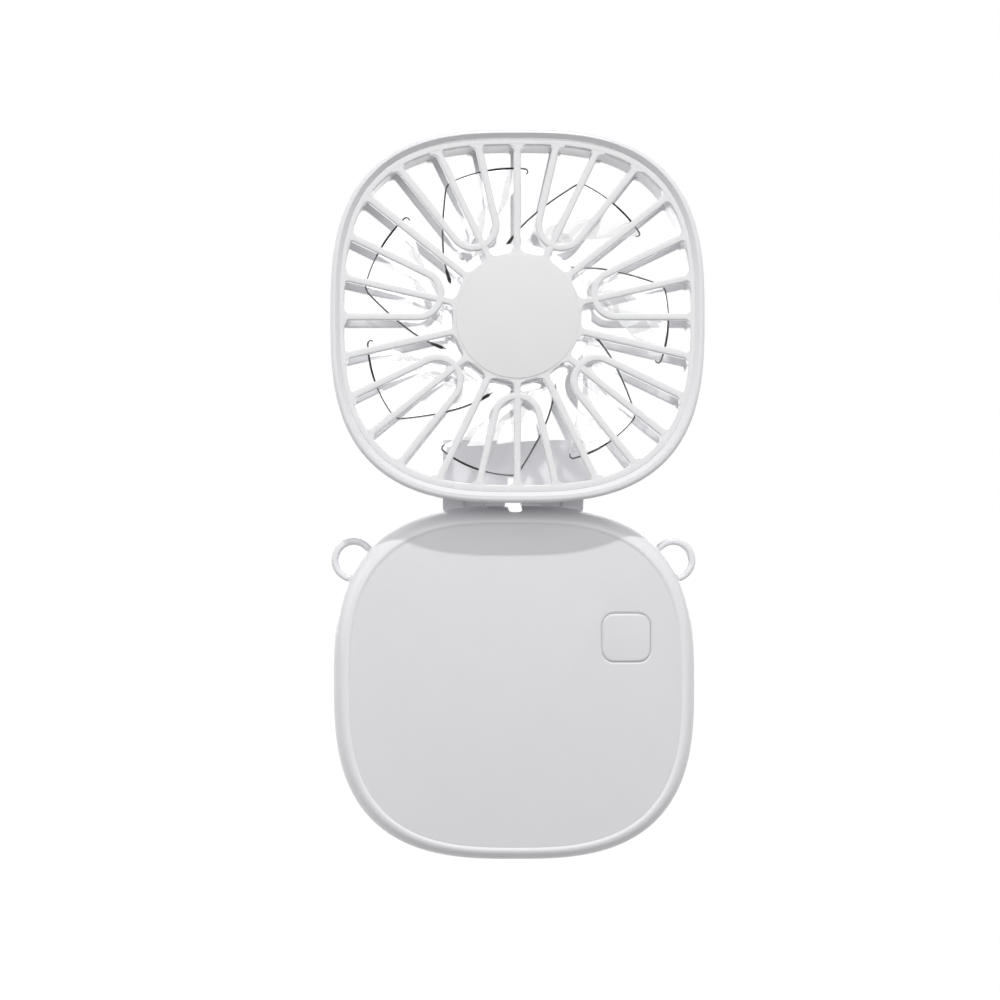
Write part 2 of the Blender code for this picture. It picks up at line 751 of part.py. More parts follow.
def pin_bore_tool(name):
    ends = [
        ((side * NOTCH_WIDTH / 2 - side * OVERRUN / 4, AXIS_Y, AXIS_Z),
         (side * (LEAF_WIDTH / 2 + OVERRUN), AXIS_Y, AXIS_Z))
        for side in (-1, 1)
    ]
    return rod_tool(name, PIN_RADIUS + PIN_GAP, *ends)


def make_front_panel(finish, base):
    """The satin panel let into the front shell, with the button's hole."""
    edge = BASE_EDGE + SINK + PANEL_MARGIN
    back_y = BASE_FRONT_Y - PANEL_PROUD + PANEL_THICKNESS
    profile = [
        (edge + PANEL_PROUD, BASE_FRONT_Y - PANEL_PROUD),
        (edge, BASE_FRONT_Y),
        (edge, back_y),
    ]
    bm = bmesh.new()
    add_squircle(bm, BASE_HALVES, BASE_Z, profile)
    panel = piece("base_front_panel", bm, finish, base)
    bm = bmesh.new()
    hole = rounded_square(
        BUTTON_SIDE + 2 * CLEARANCE, BUTTON_CORNER + CLEARANCE, BUTTON_X, BUTTON_Z
    )
    add_prism(bm, hole, BASE_FRONT_Y - OVERRUN, back_y + OVERRUN)
    cut(panel, tool("panel_button_hole", bm))


def make_strap_loops(finish, base):
    """Two ears held between the shells: each shows as a half ring on the case's shoulder."""
    half = LOOP_THICKNESS / 2
    for name, side in (("strap_loop_left", -1), ("strap_loop_right", 1)):
        bm = bmesh.new()
        place = side * LOOP_SIDE
        add_rod(bm, LOOP_RADIUS, (place, -half, 0), (place, half, 0), ROUND_STEPS)
        loop = piece(name, bm, finish, base)
        soften(loop, LOOP_SOFT_EDGE)
        hole = bmesh.new()
        add_rod(
            hole, LOOP_HOLE_RADIUS, (place, -OVERRUN, 0), (place, OVERRUN, 0), ROUND_STEPS
        )
        opening = tool(name + "_hole", hole)
        keep = bmesh.new()
        add_squircle(keep, BASE_HALVES, BASE_Z, [(0, -2 * OVERRUN), (0, 2 * OVERRUN)])
        cut(opening, tool(name + "_case_side", keep))
        cut(loop, opening)


def make_button(finish, dark, button):
    """The press button with its flange and stem, and the switch's plunger that it pushes."""
    flange_back = BUTTON_FLANGE_Y + BUTTON_FLANGE_THICKNESS
    key_back = (BUTTON_FLANGE_Y + flange_back) / 2
    bm = bmesh.new()
    key_outline = rounded_square(BUTTON_SIDE, BUTTON_CORNER, BUTTON_X, BUTTON_Z)
    add_prism(bm, key_outline, BASE_FRONT_Y - PANEL_PROUD, key_back)
    key = piece("power_button", bm, finish, button)
    soften(key, BUTTON_SOFT_EDGE)
    bm = bmesh.new()
    flange_outline = rounded_square(
        BUTTON_SIDE + 2 * BUTTON_FLANGE, BUTTON_CORNER + BUTTON_FLANGE, BUTTON_X, BUTTON_Z
    )
    add_prism(bm, flange_outline, BUTTON_FLANGE_Y, flange_back)
    join(key, tool("button_flange", bm))
    stem = ((BUTTON_X, flange_back - SINK, BUTTON_Z), (BUTTON_X, STEM_END_Y, BUTTON_Z))
    join(key, rod_tool("button_stem", BUTTON_STEM_RADIUS, stem))
    bm = bmesh.new()
    start = (BUTTON_X, STEM_END_Y + FIT_GAP, BUTTON_Z)
    add_rod(bm, PLUNGER_RADIUS, start, (BUTTON_X, SWITCH_TOP_Y + PLUNGER_REACH, BUTTON_Z))
    piece("switch_plunger", bm, dark, button)


def make_board(board_green, dark, steel, base):
    """The control board on its two posts, with its screws and the switch body."""
    high_x = BOARD_LOW_X + BOARD_WIDTH
    neck_x = USB_SIDE + USB_WIDTH / 2 + CLEARANCE
    neck_z = BASE_Z - CASE_SCREW_Z + CASE_BOSS_RADIUS + 2 * CLEARANCE
    outline = [(BOARD_LOW_X, BOARD_LOW_Z), (neck_x, BOARD_LOW_Z), (neck_x, neck_z)]
    outline += [(high_x, neck_z), (high_x, BOARD_TOP_Z), (BOARD_LOW_X, BOARD_TOP_Z)]
    bm = bmesh.new()
    add_prism(bm, outline, BOARD_FRONT_Y, BOARD_BACK_Y)
    board = piece("control_board", bm, board_green, base)
    holes = [((x, -BASE_DEPTH, z), (x, BASE_DEPTH, z)) for x, z in board_screw_places()]
    cut(board, rod_tool("board_holes", SCREW_RADIUS + FIT_GAP, *holes))
    for number, (x, z) in enumerate(board_screw_places(), 1):
        face = (x, BOARD_SCREW_FACE_Y, z)
        screw(f"board_screw_{number}", face, BOARD_SCREW_LENGTH, -1, steel, base)
    half = SWITCH_SIDE / 2
    bm = bmesh.new()
    add_box(
        bm,
        (BUTTON_X - half, SWITCH_TOP_Y, BUTTON_Z - half),
        (BUTTON_X + half, SWITCH_TOP_Y + SWITCH_HEIGHT, BUTTON_Z + half),
    )
    switch = piece("switch_body", bm, dark, base)
    well_y = SWITCH_TOP_Y + PLUNGER_REACH + BUTTON_TRAVEL + FIT_GAP
    well = ((BUTTON_X, SWITCH_TOP_Y - OVERRUN, BUTTON_Z), (BUTTON_X, well_y, BUTTON_Z))
    cut(switch, rod_tool("switch_well", PLUNGER_RADIUS + FIT_GAP, well))


def make_socket(steel, base):
    """The charging socket: a drawn steel shell, closed behind, round its tongue."""
    bm = bmesh.new()
    add_upright(bm, stadium(USB_WIDTH, USB_HEIGHT), USB_MOUTH_Z, USB_MOUTH_Z + USB_LENGTH)
    socket = piece("usb_socket", bm, steel, base)
    bm = bmesh.new()
    inside = stadium(USB_WIDTH - 2 * USB_WALL, USB_HEIGHT - 2 * USB_WALL)
    add_upright(bm, inside, USB_MOUTH_Z - OVERRUN, USB_MOUTH_Z + USB_DEPTH)
    cut(socket, tool("socket_inside", bm))
    half = USB_TONGUE_WIDTH / 2
    tongue = box_tool(
        "socket_tongue",
        (
            (USB_SIDE - half, USB_Y - USB_TONGUE / 2, USB_MOUTH_Z + USB_SINK),
            (USB_SIDE + half, USB_Y + USB_TONGUE / 2, USB_MOUTH_Z + USB_DEPTH + SINK),
        ),
    )
    join(socket, tongue)


def make_battery(wrap, red, black, base):
    """A pouch cell laid against the front shell, and its two leads to the board."""
    near_y = CEILING_Y + CLEARANCE
    low_z = BASE_Z - BASE_HALVES[1] + BATTERY_FROM_FOOT
    high_z = BASE_Z + BASE_HALVES[1] - BATTERY_FROM_TOP
    low = (BATTERY_FROM_SIDE - BASE_HALVES[0], near_y, low_z)
    high = (BOARD_LOW_X - BATTERY_FROM_BOARD, near_y + BATTERY_DEPTH, high_z)
    bm = bmesh.new()
    add_box(bm, low, high)
    soften(piece("battery_pack", bm, wrap, base), BATTERY_SOFT_EDGE, 2)
    for name, finish, order in (("battery_lead_red", red, 0), ("battery_lead_black", black, 1)):
        level = high[2] - BATTERY_SOFT_EDGE - LEAD_APART * (order + 1)
        start = Vector((high[0] + LEAD_RADIUS + CLEARANCE / 2, near_y + BATTERY_DEPTH / 2, level))
        end_y = BOARD_BACK_Y + LEAD_RADIUS + CLEARANCE
        end = Vector((BOARD_LOW_X + LEAD_SEAT, end_y, level))
        make_lead(name, finish, start, end, base)


def make_lead(name, finish, start, end, base):
    """A short insulated wire that bows out a little between its two ends."""
    steps = CORNER_STEPS * 2
    curve = bpy.data.curves.new(name, "CURVE")
    curve.dimensions = "3D"
    curve.bevel_depth = LEAD_RADIUS
    curve.bevel_resolution = 1
    curve.use_fill_caps = True
    spline = curve.splines.new("POLY")
    spline.points.add(steps)
    origin = Vector(base["place"])
    for step in range(steps + 1):
        share = step / steps
        bow = LEAD_SLACK * math.sin(math.pi * share)
        place = start.lerp(end, share) + Vector((0, bow, 0)) - origin
        spline.points[step].co = (*place, 1)
    obj = bpy.data.objects.new(name, curve)
    bpy.context.scene.collection.objects.link(obj)
    curve.materials.append(finish)
    obj.parent = base


def make_head_housing(finish, head):
    """Rear housing: the open duct wall with its rolled rim, stepped at the back for the grille."""
    side_front = HEAD_FRONT_Y + RIM_DEPTH
    side_back = HEAD_BACK_Y - RIM_BACK_DEPTH
    seat_y = REAR_PLATE_Y - FIT_GAP
    profile = [(REAR_SEAT_WALL, seat_y), (HEAD_WALL, seat_y), (HEAD_WALL, HEAD_FRONT_Y)]
    profile += reversed(rounded_edge(HEAD_WALL - CLEARANCE, side_front, HEAD_FRONT_Y, CORNER_STEPS))
    profile += rounded_edge(REAR_SEAT_WALL, side_back, HEAD_BACK_Y, CORNER_STEPS - 2)
    bm = bmesh.new()
    add_squircle(bm, HEAD_HALVES, HEAD_Z, profile, hollow=True)
    piece("rear_housing", bm, finish, head)


def leaf_pad_outline():
    """The hinge pad: straight at its sides and top, and following the ring along its foot."""
    half = LEAF_WIDTH / 2
    across, up = inset(HEAD_HALVES, HEAD_WALL)
    points = [(half, AXIS_Z + LEAF_TOP), (-half, AXIS_Z + LEAF_TOP)]
    steps = CORNER_STEPS * 2
    for step in range(steps + 1):
        x = LEAF_WIDTH * step / steps - half
        share = (1 - (abs(x) / across) ** SQUIRCLE_POWER) ** (1 / SQUIRCLE_POWER)
        points.append((x, HEAD_Z - up * share))
    return points


def make_rear_grille(finish, head):
    """Rear grille: arched ribs in a ring, with the hinge pad, the motor cup and the bearing tube."""
    edge = REAR_SEAT_WALL + FIT_GAP
    profile = [
        (edge, REAR_PLATE_Y),
        (edge, HEAD_BACK_Y - SINK),
        (edge + SINK, HEAD_BACK_Y),
    ]
    bm = bmesh.new()
    add_squircle(bm, HEAD_HALVES, HEAD_Z, profile)
    grille = piece("rear_grille", bm, finish, head)
    opening = inset(HEAD_HALVES, HEAD_WALL + REAR_LEDGE)
    near_y = REAR_PLATE_Y - OVERRUN / 2
    far_y = HEAD_BACK_Y + OVERRUN
    cut(grille, grille_windows("rear_windows", opening, REAR_RIB_WIDTH, HUB_RADIUS, near_y, far_y))
    bm = bmesh.new()
    add_prism(bm, leaf_pad_outline(), REAR_PLATE_Y, HEAD_BACK_Y - SINK / 4)
    join(grille, tool("leaf_pad", bm))
    slot = box_tool(
        "pad_slot",
        (
            (-NOTCH_WIDTH / 2, REAR_PLATE_Y - OVERRUN, HEAD_Z - opening[1] + REAR_LEDGE / 2),
            (NOTCH_WIDTH / 2, HEAD_BACK_Y + OVERRUN, AXIS_Z + LEAF_SLOT_TOP),
        ),
    )
    cut(grille, slot)
    bm = bmesh.new()
    cup_y = REAR_PLATE_Y - CUP_HEIGHT
    add_tube(bm, HUB_RADIUS, HUB_RADIUS - CUP_WALL, cup_y, REAR_PLATE_Y + SINK, HEAD_CENTRE)
    tube_inner = BEARING_RADIUS + FIT_GAP
    tube_outer = tube_inner + BEARING_TUBE_WALL
    tube_y = REAR_PLATE_Y - BEARING_TUBE_LENGTH
    add_tube(bm, tube_outer, tube_inner, tube_y, REAR_PLATE_Y + SINK, HEAD_CENTRE)
    join(grille, tool("cup_and_bearing_tube", bm))
    bores = [((x, REAR_PLATE_Y - OVERRUN, z), (x, OVERRUN, z)) for x, z in leaf_screw_places()]
    cut(grille, rod_tool("leaf_pad_bores", SCREW_RADIUS + FIT_GAP, *bores))


def make_front_grille(finish, head):
    """Front grille: a plate of arched ribs on a lip, with a skirt that plugs into the housing."""
    edge = HEAD_WALL + GRILLE_GAP
    skirt_y = GRILLE_BACK_Y + GRILLE_SKIRT_DEPTH
    skirt = edge + GRILLE_SKIRT
    profile = [
        (edge + SINK, GRILLE_FRONT_Y),
        (edge, GRILLE_FRONT_Y + SINK),
        (edge, skirt_y),
        (skirt, skirt_y),
        (skirt, GRILLE_BACK_Y),
    ]
    bm = bmesh.new()
    add_squircle(bm, HEAD_HALVES, HEAD_Z, profile)
    grille = piece("front_grille", bm, finish, head)
    opening = inset(HEAD_HALVES, edge + GRILLE_LIP)
    cut(
        grille,
        grille_windows(
            "front_windows",
            opening,
            RIB_WIDTH,
            HUB_RADIUS,
            GRILLE_FRONT_Y - OVERRUN,
            GRILLE_BACK_Y + OVERRUN / 4,
        ),
    )
    seat = rod_tool(
        "cover_seat",
        HUB_COVER_RADIUS + FIT_GAP,
        (
            (0, GRILLE_FRONT_Y - OVERRUN, HEAD_Z),
            (0, GRILLE_FRONT_Y + HUB_COVER_THICKNESS, HEAD_Z),
        ),
        steps=OUTLINE_STEPS,
    )
    cut(grille, seat)


def make_hub_cover(finish, head):
    """The plain round cap on the front grille's hub."""
    back_y = GRILLE_FRONT_Y + HUB_COVER_THICKNESS - FIT_GAP
    front_y = back_y - HUB_COVER_THICKNESS
    soft = HUB_COVER_SOFT_EDGE
    profile = [
        (0, front_y),
        (HUB_COVER_RADIUS - soft, front_y),
        (HUB_COVER_RADIUS, front_y + soft),
        (HUB_COVER_RADIUS, back_y),
        (0, back_y),
    ]
    bm = bmesh.new()
    add_turned(bm, profile, HEAD_CENTRE, OUTLINE_STEPS)
    piece("hub_cover", bm, finish, head)


def leaf_screw_places():
    """Two screws at the leaf's upper corners and two above its outer knuckles."""
    high = AXIS_Z + LEAF_TOP - LEAF_SCREW_DROP
    low = AXIS_Z + LEAF_SCREW_RISE
    return [(side * LEAF_SCREW_X, z) for z in (high, low) for side in (-1, 1)]


def make_neck_leaf(finish, steel, head):
    """The hinge leaf screwed to the head's back, with four knuckles round the pins."""
    near_y = HEAD_BACK_Y + CLEARANCE
    half = LEAF_WIDTH / 2
    foot_z = AXIS_Z + BARREL_RADIUS + KNUCKLE_RELIEF
    bm = bmesh.new()
    add_box(bm, (-half, near_y, foot_z), (half, LEAF_BACK_Y, AXIS_Z + LEAF_TOP))
    leaf = piece("neck_leaf", bm, finish, head)
    soften(leaf, LEAF_SOFT_EDGE)
    front_y = near_y + LEAF_SOFT_EDGE
    rear_y = LEAF_BACK_Y - LEAF_SOFT_EDGE
    roots = [(front_y, foot_z), (front_y, foot_z + SINK), (rear_y, foot_z + SINK)]
    join(leaf, knuckle_tool("leaf_knuckles", leaf_knuckle_spans(), roots))
    slot = box_tool(
        "leaf_slot",
        (
            (-NOTCH_WIDTH / 2, -OVERRUN, AXIS_Z - BARREL_RADIUS - OVERRUN),
            (NOTCH_WIDTH / 2, LEAF_BACK_Y + OVERRUN, AXIS_Z + LEAF_SLOT_TOP),
        ),
    )
    cut(leaf, slot)
    cut(leaf, pin_bore_tool("leaf_pin_bores"))
    seat_y = LEAF_BACK_Y - SCREW_SINK - SCREW_HEAD_DEPTH - FIT_GAP
    places = leaf_screw_places()
    bores = [((x, -OVERRUN, z), (x, LEAF_BACK_Y, z)) for x, z in places]
    cut(leaf, rod_tool("leaf_bores", SCREW_RADIUS + FIT_GAP, *bores))
    seats = [((x, seat_y, z), (x, LEAF_BACK_Y + OVERRUN, z)) for x, z in places]
    cut(leaf, rod_tool("leaf_screw_seats", SCREW_HEAD_RADIUS + FIT_GAP, *seats))
    for number, (x, z) in enumerate(places, 1):
        head_face = (x, LEAF_BACK_Y - SCREW_SINK, z)
        screw(f"leaf_screw_{number}", head_face, LEAF_SCREW_LENGTH, -1, steel, head)


def make_hinge_pins(steel, head):
    """Two steel pins, each with a friction washer between the base's knuckle and the outer one."""
    for side, word in ((-1, "left"), (1, "right")):
        near = side * (NOTCH_WIDTH / 2 + PIN_SHORT)
        far = side * (LEAF_WIDTH / 2 - PIN_SHORT)
        bm = bmesh.new()
        add_rod(bm, PIN_RADIUS, (near, AXIS_Y, AXIS_Z), (far, AXIS_Y, AXIS_Z))
        piece(f"hinge_pin_{word}", bm, steel, head)
        start = side * (base_knuckle_spans()[1][1] + WASHER_GAP)
        end = start + side * WASHER_THICKNESS
        bm = bmesh.new()
        add_rod(bm, WASHER_RADIUS, (start, AXIS_Y, AXIS_Z), (end, AXIS_Y, AXIS_Z))
        washer = piece(f"friction_washer_{word}", bm, steel, head)
        cut(washer, pin_bore_tool(f"washer_bore_{word}"))


def make_motor(steel, magnet, copper, bearing_steel, board_green, head, fan):
    """An outrunner: fixed stator, windings, bearings and board; turning can, magnet and shaft."""
    wall_y = CAN_FRONT_Y + CAN_WALL
    can_inner = CAN_RADIUS - CAN_WALL
    can_back = CAN_FRONT_Y + CAN_DEPTH
    bore = SHAFT_RADIUS + FIT_GAP
    bm = bmesh.new()
    profile = [
        (bore, CAN_FRONT_Y),
        (CAN_RADIUS, CAN_FRONT_Y),
        (CAN_RADIUS, can_back),
        (can_inner, can_back),
        (can_inner, wall_y),
        (bore, wall_y),
    ]
    add_turned(bm, profile, HEAD_CENTRE)
    piece("rotor_can", bm, steel, fan)
    magnet_outer = can_inner - FIT_GAP
    magnet_inner = magnet_outer - MAGNET_THICKNESS
    stator_back = can_back - CLEARANCE - WINDING_DEPTH
    stator_front = stator_back - STATOR_DEPTH
    bm = bmesh.new()
    add_tube(bm, magnet_outer, magnet_inner, stator_front, can_back - CLEARANCE, HEAD_CENTRE)
    piece("magnet_ring", bm, magnet, fan)
    tube_outer = BEARING_RADIUS + FIT_GAP + BEARING_TUBE_WALL
    core_bore = tube_outer + STATOR_BORE_GAP
    core_radius = magnet_inner - AIR_GAP - FIT_GAP
    make_stator(steel, core_bore, core_radius, stator_front, stator_back, head)
    make_windings(copper, core_radius, stator_front, stator_back, head)
    front_y = REAR_PLATE_Y - BEARING_TUBE_LENGTH + FIT_GAP
    rear_y = REAR_PLATE_Y - CLEARANCE - BEARING_WIDTH
    for name, near_y in (("bearing_front", front_y), ("bearing_rear", rear_y)):
        bm = bmesh.new()
        far_y = near_y + BEARING_WIDTH
        add_tube(bm, BEARING_RADIUS, bore, near_y, far_y, HEAD_CENTRE, SMALL_ROUND_STEPS)
        piece(name, bm, bearing_steel, head)
    bm = bmesh.new()
    add_rod(
        bm, SHAFT_RADIUS, (0, CAN_FRONT_Y, HEAD_Z), (0, REAR_PLATE_Y - FIT_GAP, HEAD_Z)
    )
    piece("motor_shaft", bm, bearing_steel, fan)
    bm = bmesh.new()
    outer = HUB_RADIUS - CUP_WALL - CLEARANCE
    board_far = REAR_PLATE_Y - CLEARANCE
    add_tube(bm, outer, core_bore, board_far - MOTOR_BOARD_THICKNESS, board_far, HEAD_CENTRE)
    piece("motor_board", bm, board_green, head)


def stator_outline(core_radius):
    """Outer outline of the laminated core: straight poles with broad tips round a yoke."""
    points = []
    pitch = math.tau / STATOR_POLES
    tip = pitch / 2 - SLOT_WIDTH / 2 / core_radius
    under = core_radius - POLE_TIP
    root = math.asin(POLE_WIDTH / 2 / YOKE_RADIUS)
    neck = math.asin(POLE_WIDTH / 2 / under)
    for pole in range(STATOR_POLES):
        middle = pitch * pole
        for radius, angle in (
            (YOKE_RADIUS, -root),
            (under, -neck),
            (under, -tip),
            (core_radius, -tip),
            (core_radius, 0),
            (core_radius, tip),
            (under, tip),
            (under, neck),
            (YOKE_RADIUS, root),
        ):
            turned = middle + angle
            points.append((radius * math.cos(turned), HEAD_Z + radius * math.sin(turned)))
    return points


def make_stator(steel, core_bore, core_radius, near_y, far_y, head):
    bm = bmesh.new()
    add_prism(bm, stator_outline(core_radius), near_y, far_y)
    core = piece("stator_core", bm, steel, head)
    ends = ((0, near_y - OVERRUN, HEAD_Z), (0, far_y + OVERRUN, HEAD_Z))
    cut(core, rod_tool("stator_bore", core_bore, ends, steps=ROUND_STEPS))


def make_windings(copper, core_radius, stator_front, stator_back, head):
    """The end turns of the coils, a lobed ring on each face of the core."""
    inner = YOKE_RADIUS - POLE_WIDTH / 4
    outer = core_radius - POLE_TIP - CLEARANCE
    depth = WINDING_DEPTH - 2 * FIT_GAP
    for name, near_y in (
        ("winding_front", stator_front - FIT_GAP - depth),
        ("winding_rear", stator_back + FIT_GAP),
    ):
        outline = []
        steps = STATOR_POLES * CORNER_STEPS
        for step in range(steps):
            angle = math.tau * step / steps
            lobe = (1 + math.cos(angle * STATOR_POLES)) / 2
            radius = outer - (outer - inner) / 3 * (1 - lobe)
            outline.append((radius * math.cos(angle), HEAD_Z + radius * math.sin(angle)))
        bm = bmesh.new()
        add_prism(bm, outline, near_y, near_y + depth)
        ring = piece(name, bm, copper, head)
        ends = ((0, near_y - OVERRUN, HEAD_Z), (0, near_y + depth + OVERRUN, HEAD_Z))
        cut(ring, rod_tool(name + "_bore", inner, ends, steps=ROUND_STEPS))


def blade_point(along, across):
    """Middle of a blade: along runs from root to tip, across from leading to trailing edge."""
    root_radius = IMPELLER_HUB_RADIUS - IMPELLER_HUB_WALL / 2
    radius = root_radius + (BLADE_TIP_RADIUS - root_radius) * along
    arc = BLADE_ROOT_ARC + (BLADE_TIP_ARC - BLADE_ROOT_ARC) * along
    angle = BLADE_START - BLADE_SWEEP * along - arc * across
    root_depth = IMPELLER_BACK_Y - IMPELLER_FRONT_Y - 2 * BLADE_INSET - BLADE_ROOT_THICKNESS
    depth = root_depth + (BLADE_TIP_DEPTH - root_depth) * along
    middle_y = (IMPELLER_FRONT_Y + IMPELLER_BACK_Y) / 2
    camber = BLADE_CAMBER * math.sin(math.pi * across)
    y = middle_y + depth * (0.5 - across) + camber
    return Vector((radius * math.cos(angle), y, radius * math.sin(angle)))


def blade_normal(along, across):
    """Square to the blade's middle, found from points close by."""
    little = 1 / (BLADE_RADIAL_STEPS * BLADE_CHORD_STEPS)
    out = blade_point(along + little, across) - blade_point(along - little, across)
    back = blade_point(along, across + little) - blade_point(along, across - little)
    return out.cross(back).normalized()


def add_blade(bm, turn):
    """One twisted, swept blade with a thick root and thin edges."""
    spin = Matrix.Rotation(-turn, 3, "Y")
    sheets = []
    for face in (-1, 1):
        sheet = []
        for i in range(BLADE_RADIAL_STEPS + 1):
            along = i / BLADE_RADIAL_STEPS
            thick = BLADE_ROOT_THICKNESS + (BLADE_TIP_THICKNESS - BLADE_ROOT_THICKNESS) * along
            row = []
            for j in range(BLADE_CHORD_STEPS + 1):
                across = j / BLADE_CHORD_STEPS
                offset = blade_normal(along, across) * (face * thick / 2)
                row.append(bm.verts.new(spin @ (blade_point(along, across) + offset) + HEAD_CENTRE))
            sheet.append(row)
        sheets.append(sheet)
    front, back = sheets
    for i in range(BLADE_RADIAL_STEPS):
        for j in range(BLADE_CHORD_STEPS):
            for sheet in sheets:
                bm.faces.new(
                    (sheet[i][j], sheet[i][j + 1], sheet[i + 1][j + 1], sheet[i + 1][j])
                )
    border = [(i, 0) for i in range(BLADE_RADIAL_STEPS)]
    border += [(BLADE_RADIAL_STEPS, j) for j in range(BLADE_CHORD_STEPS)]
    border += [(i, BLADE_CHORD_STEPS) for i in range(BLADE_RADIAL_STEPS, 0, -1)]
    border += [(0, j) for j in range(BLADE_CHORD_STEPS, 0, -1)]
    for (i, j), (k, m) in zip(border, border[1:] + border[:1]):
        bm.faces.new((front[i][j], front[k][m], back[k][m], back[i][j]))


def make_impeller(clear, fan):
    """The clear impeller: a cup shaped hub over the motor can, and seven blades."""
    face_y = IMPELLER_FRONT_Y + IMPELLER_FACE
    seat_inner = CAN_RADIUS + CLEARANCE
    seat_outer = seat_inner + CAN_SEAT_WALL
    wall_inner = IMPELLER_HUB_RADIUS - IMPELLER_HUB_WALL
    bore = SHAFT_RADIUS + CLEARANCE
    soft = IMPELLER_HUB_WALL / 3
    profile = [
        (bore, IMPELLER_FRONT_Y),
        (IMPELLER_HUB_RADIUS - soft, IMPELLER_FRONT_Y),
        (IMPELLER_HUB_RADIUS, IMPELLER_FRONT_Y + soft),
        (IMPELLER_HUB_RADIUS, IMPELLER_BACK_Y),
        (wall_inner, IMPELLER_BACK_Y),
        (wall_inner, face_y),
        (seat_outer, face_y),
        (seat_outer, face_y + CAN_SEAT_DEPTH),
        (seat_inner, face_y + CAN_SEAT_DEPTH),
        (seat_inner, face_y),
        (bore, face_y),
    ]
    bm = bmesh.new()
    add_turned(bm, profile, HEAD_CENTRE, BLADE_COUNT * BLADE_RADIAL_STEPS)
    impeller = piece("impeller", bm, clear, fan)
    bm = bmesh.new()
    for blade in range(BLADE_COUNT):
        add_blade(bm, math.tau * blade / BLADE_COUNT)
    join(impeller, tool("blades", bm))


def build():
    clear_scene()
    white = material("white_abs", (0.76, 0.76, 0.78), 0.35)
    grille_white = material("grille_abs", (0.78, 0.78, 0.80), 0.30)
    satin = material("satin_panel", (0.69, 0.70, 0.72), 0.45)
    hub_white = material("hub_cap_abs", (0.75, 0.75, 0.75), 0.40)
    clear = material("clear_polycarbonate", (0.95, 0.96, 0.97), 0.03, transmission=1.0)
    steel = material("bright_steel", (0.62, 0.62, 0.63), 0.30, metallic=1.0)
    bearing_steel = material("bearing_steel", (0.50, 0.50, 0.52), 0.25, metallic=1.0)
    magnet = material("ferrite", (0.05, 0.05, 0.055), 0.60)
    copper = material("enamelled_copper", (0.64, 0.25, 0.11), 0.35, metallic=1.0)
    green = material("board_green", (0.03, 0.17, 0.07), 0.45)
    dark = material("switch_black", (0.03, 0.03, 0.03), 0.50)
    wrap = material("cell_wrap", (0.25, 0.30, 0.36), 0.40)
    red = material("lead_red", (0.50, 0.02, 0.02), 0.50)
    black = material("lead_black", (0.02, 0.02, 0.02), 0.50)

    base = pivot("base_frame", Vector((0, 0, 0)))
    button = pivot("button_guide", Vector((BUTTON_X, BASE_FRONT_Y, BUTTON_Z)), base)
    head = pivot("head_hinge", Vector((0, AXIS_Y, AXIS_Z)), base)
    fan = pivot("fan_axle", HEAD_CENTRE, head)

    make_base_shells(white, base)
    make_front_panel(satin, base)
    make_strap_loops(white, base)
    make_board(green, dark, steel, base)
    make_socket(steel, base)
    make_battery(wrap, red, black, base)
    for number, (x, z) in enumerate(case_screw_places(), 1):
        face = (x, BASE_BACK_Y - SCREW_SINK, z)
        screw(f"case_screw_{number}", face, CASE_SCREW_LENGTH, -1, steel, base)
    make_button(satin, dark, button)
    make_head_housing(white, head)
    make_rear_grille(white, head)
    make_front_grille(grille_white, head)
    make_hub_cover(hub_white, head)
    make_neck_leaf(white, steel, head)
    make_hinge_pins(steel, head)
    make_motor(steel, magnet, copper, bearing_steel, green, head, fan)
    make_impeller(clear, fan)


build()
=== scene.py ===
"""A pocket fan that folds: a squircle head with arched grilles, hinged on a flat battery base."""

import math

import bmesh
import bpy
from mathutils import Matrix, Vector
from mathutils.geometry import convex_hull_2d


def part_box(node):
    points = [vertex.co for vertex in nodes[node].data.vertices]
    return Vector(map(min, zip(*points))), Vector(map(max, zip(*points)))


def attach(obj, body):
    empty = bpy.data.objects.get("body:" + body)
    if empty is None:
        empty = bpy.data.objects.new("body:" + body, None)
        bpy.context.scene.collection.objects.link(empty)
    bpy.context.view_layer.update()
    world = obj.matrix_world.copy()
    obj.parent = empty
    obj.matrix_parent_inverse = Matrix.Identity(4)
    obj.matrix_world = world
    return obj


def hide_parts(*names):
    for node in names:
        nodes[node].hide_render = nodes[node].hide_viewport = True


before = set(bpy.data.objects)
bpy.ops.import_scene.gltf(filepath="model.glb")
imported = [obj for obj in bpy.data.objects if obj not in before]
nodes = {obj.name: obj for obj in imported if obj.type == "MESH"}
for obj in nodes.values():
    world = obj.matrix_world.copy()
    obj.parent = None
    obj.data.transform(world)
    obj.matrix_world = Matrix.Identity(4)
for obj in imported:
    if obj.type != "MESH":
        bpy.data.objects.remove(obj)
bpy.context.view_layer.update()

# Front shell of the base: the front half of the case, injection moulded in white ABS. Its edge is
# a full round from the parting line to the rim that the front panel is let into. It clips and
# screws onto the rear shell.

MM = 0.001
SQUIRCLE_POWER = 2.86
OUTLINE_STEPS = 224
EDGE_STEPS = 22
CORNER_STEPS = 8
SHARP = math.radians(32)
OVERRUN = 4 * MM
HAIR = 0.01 * MM
CLOUD = 9 * MM
PANEL_INSET = 4.7 * MM
SHELL_EDGE = 3.85 * MM
SHELL_WALL = 2.4 * MM
RIM_WIDTH = 0.6 * MM
RIM_CROWN = 0.02 * MM
RIM_FALL = 0.195 * MM
PARTING = 0.15 * MM
PANEL_SEAT = 1.05 * MM
SEAT_PLATE = 1.5 * MM

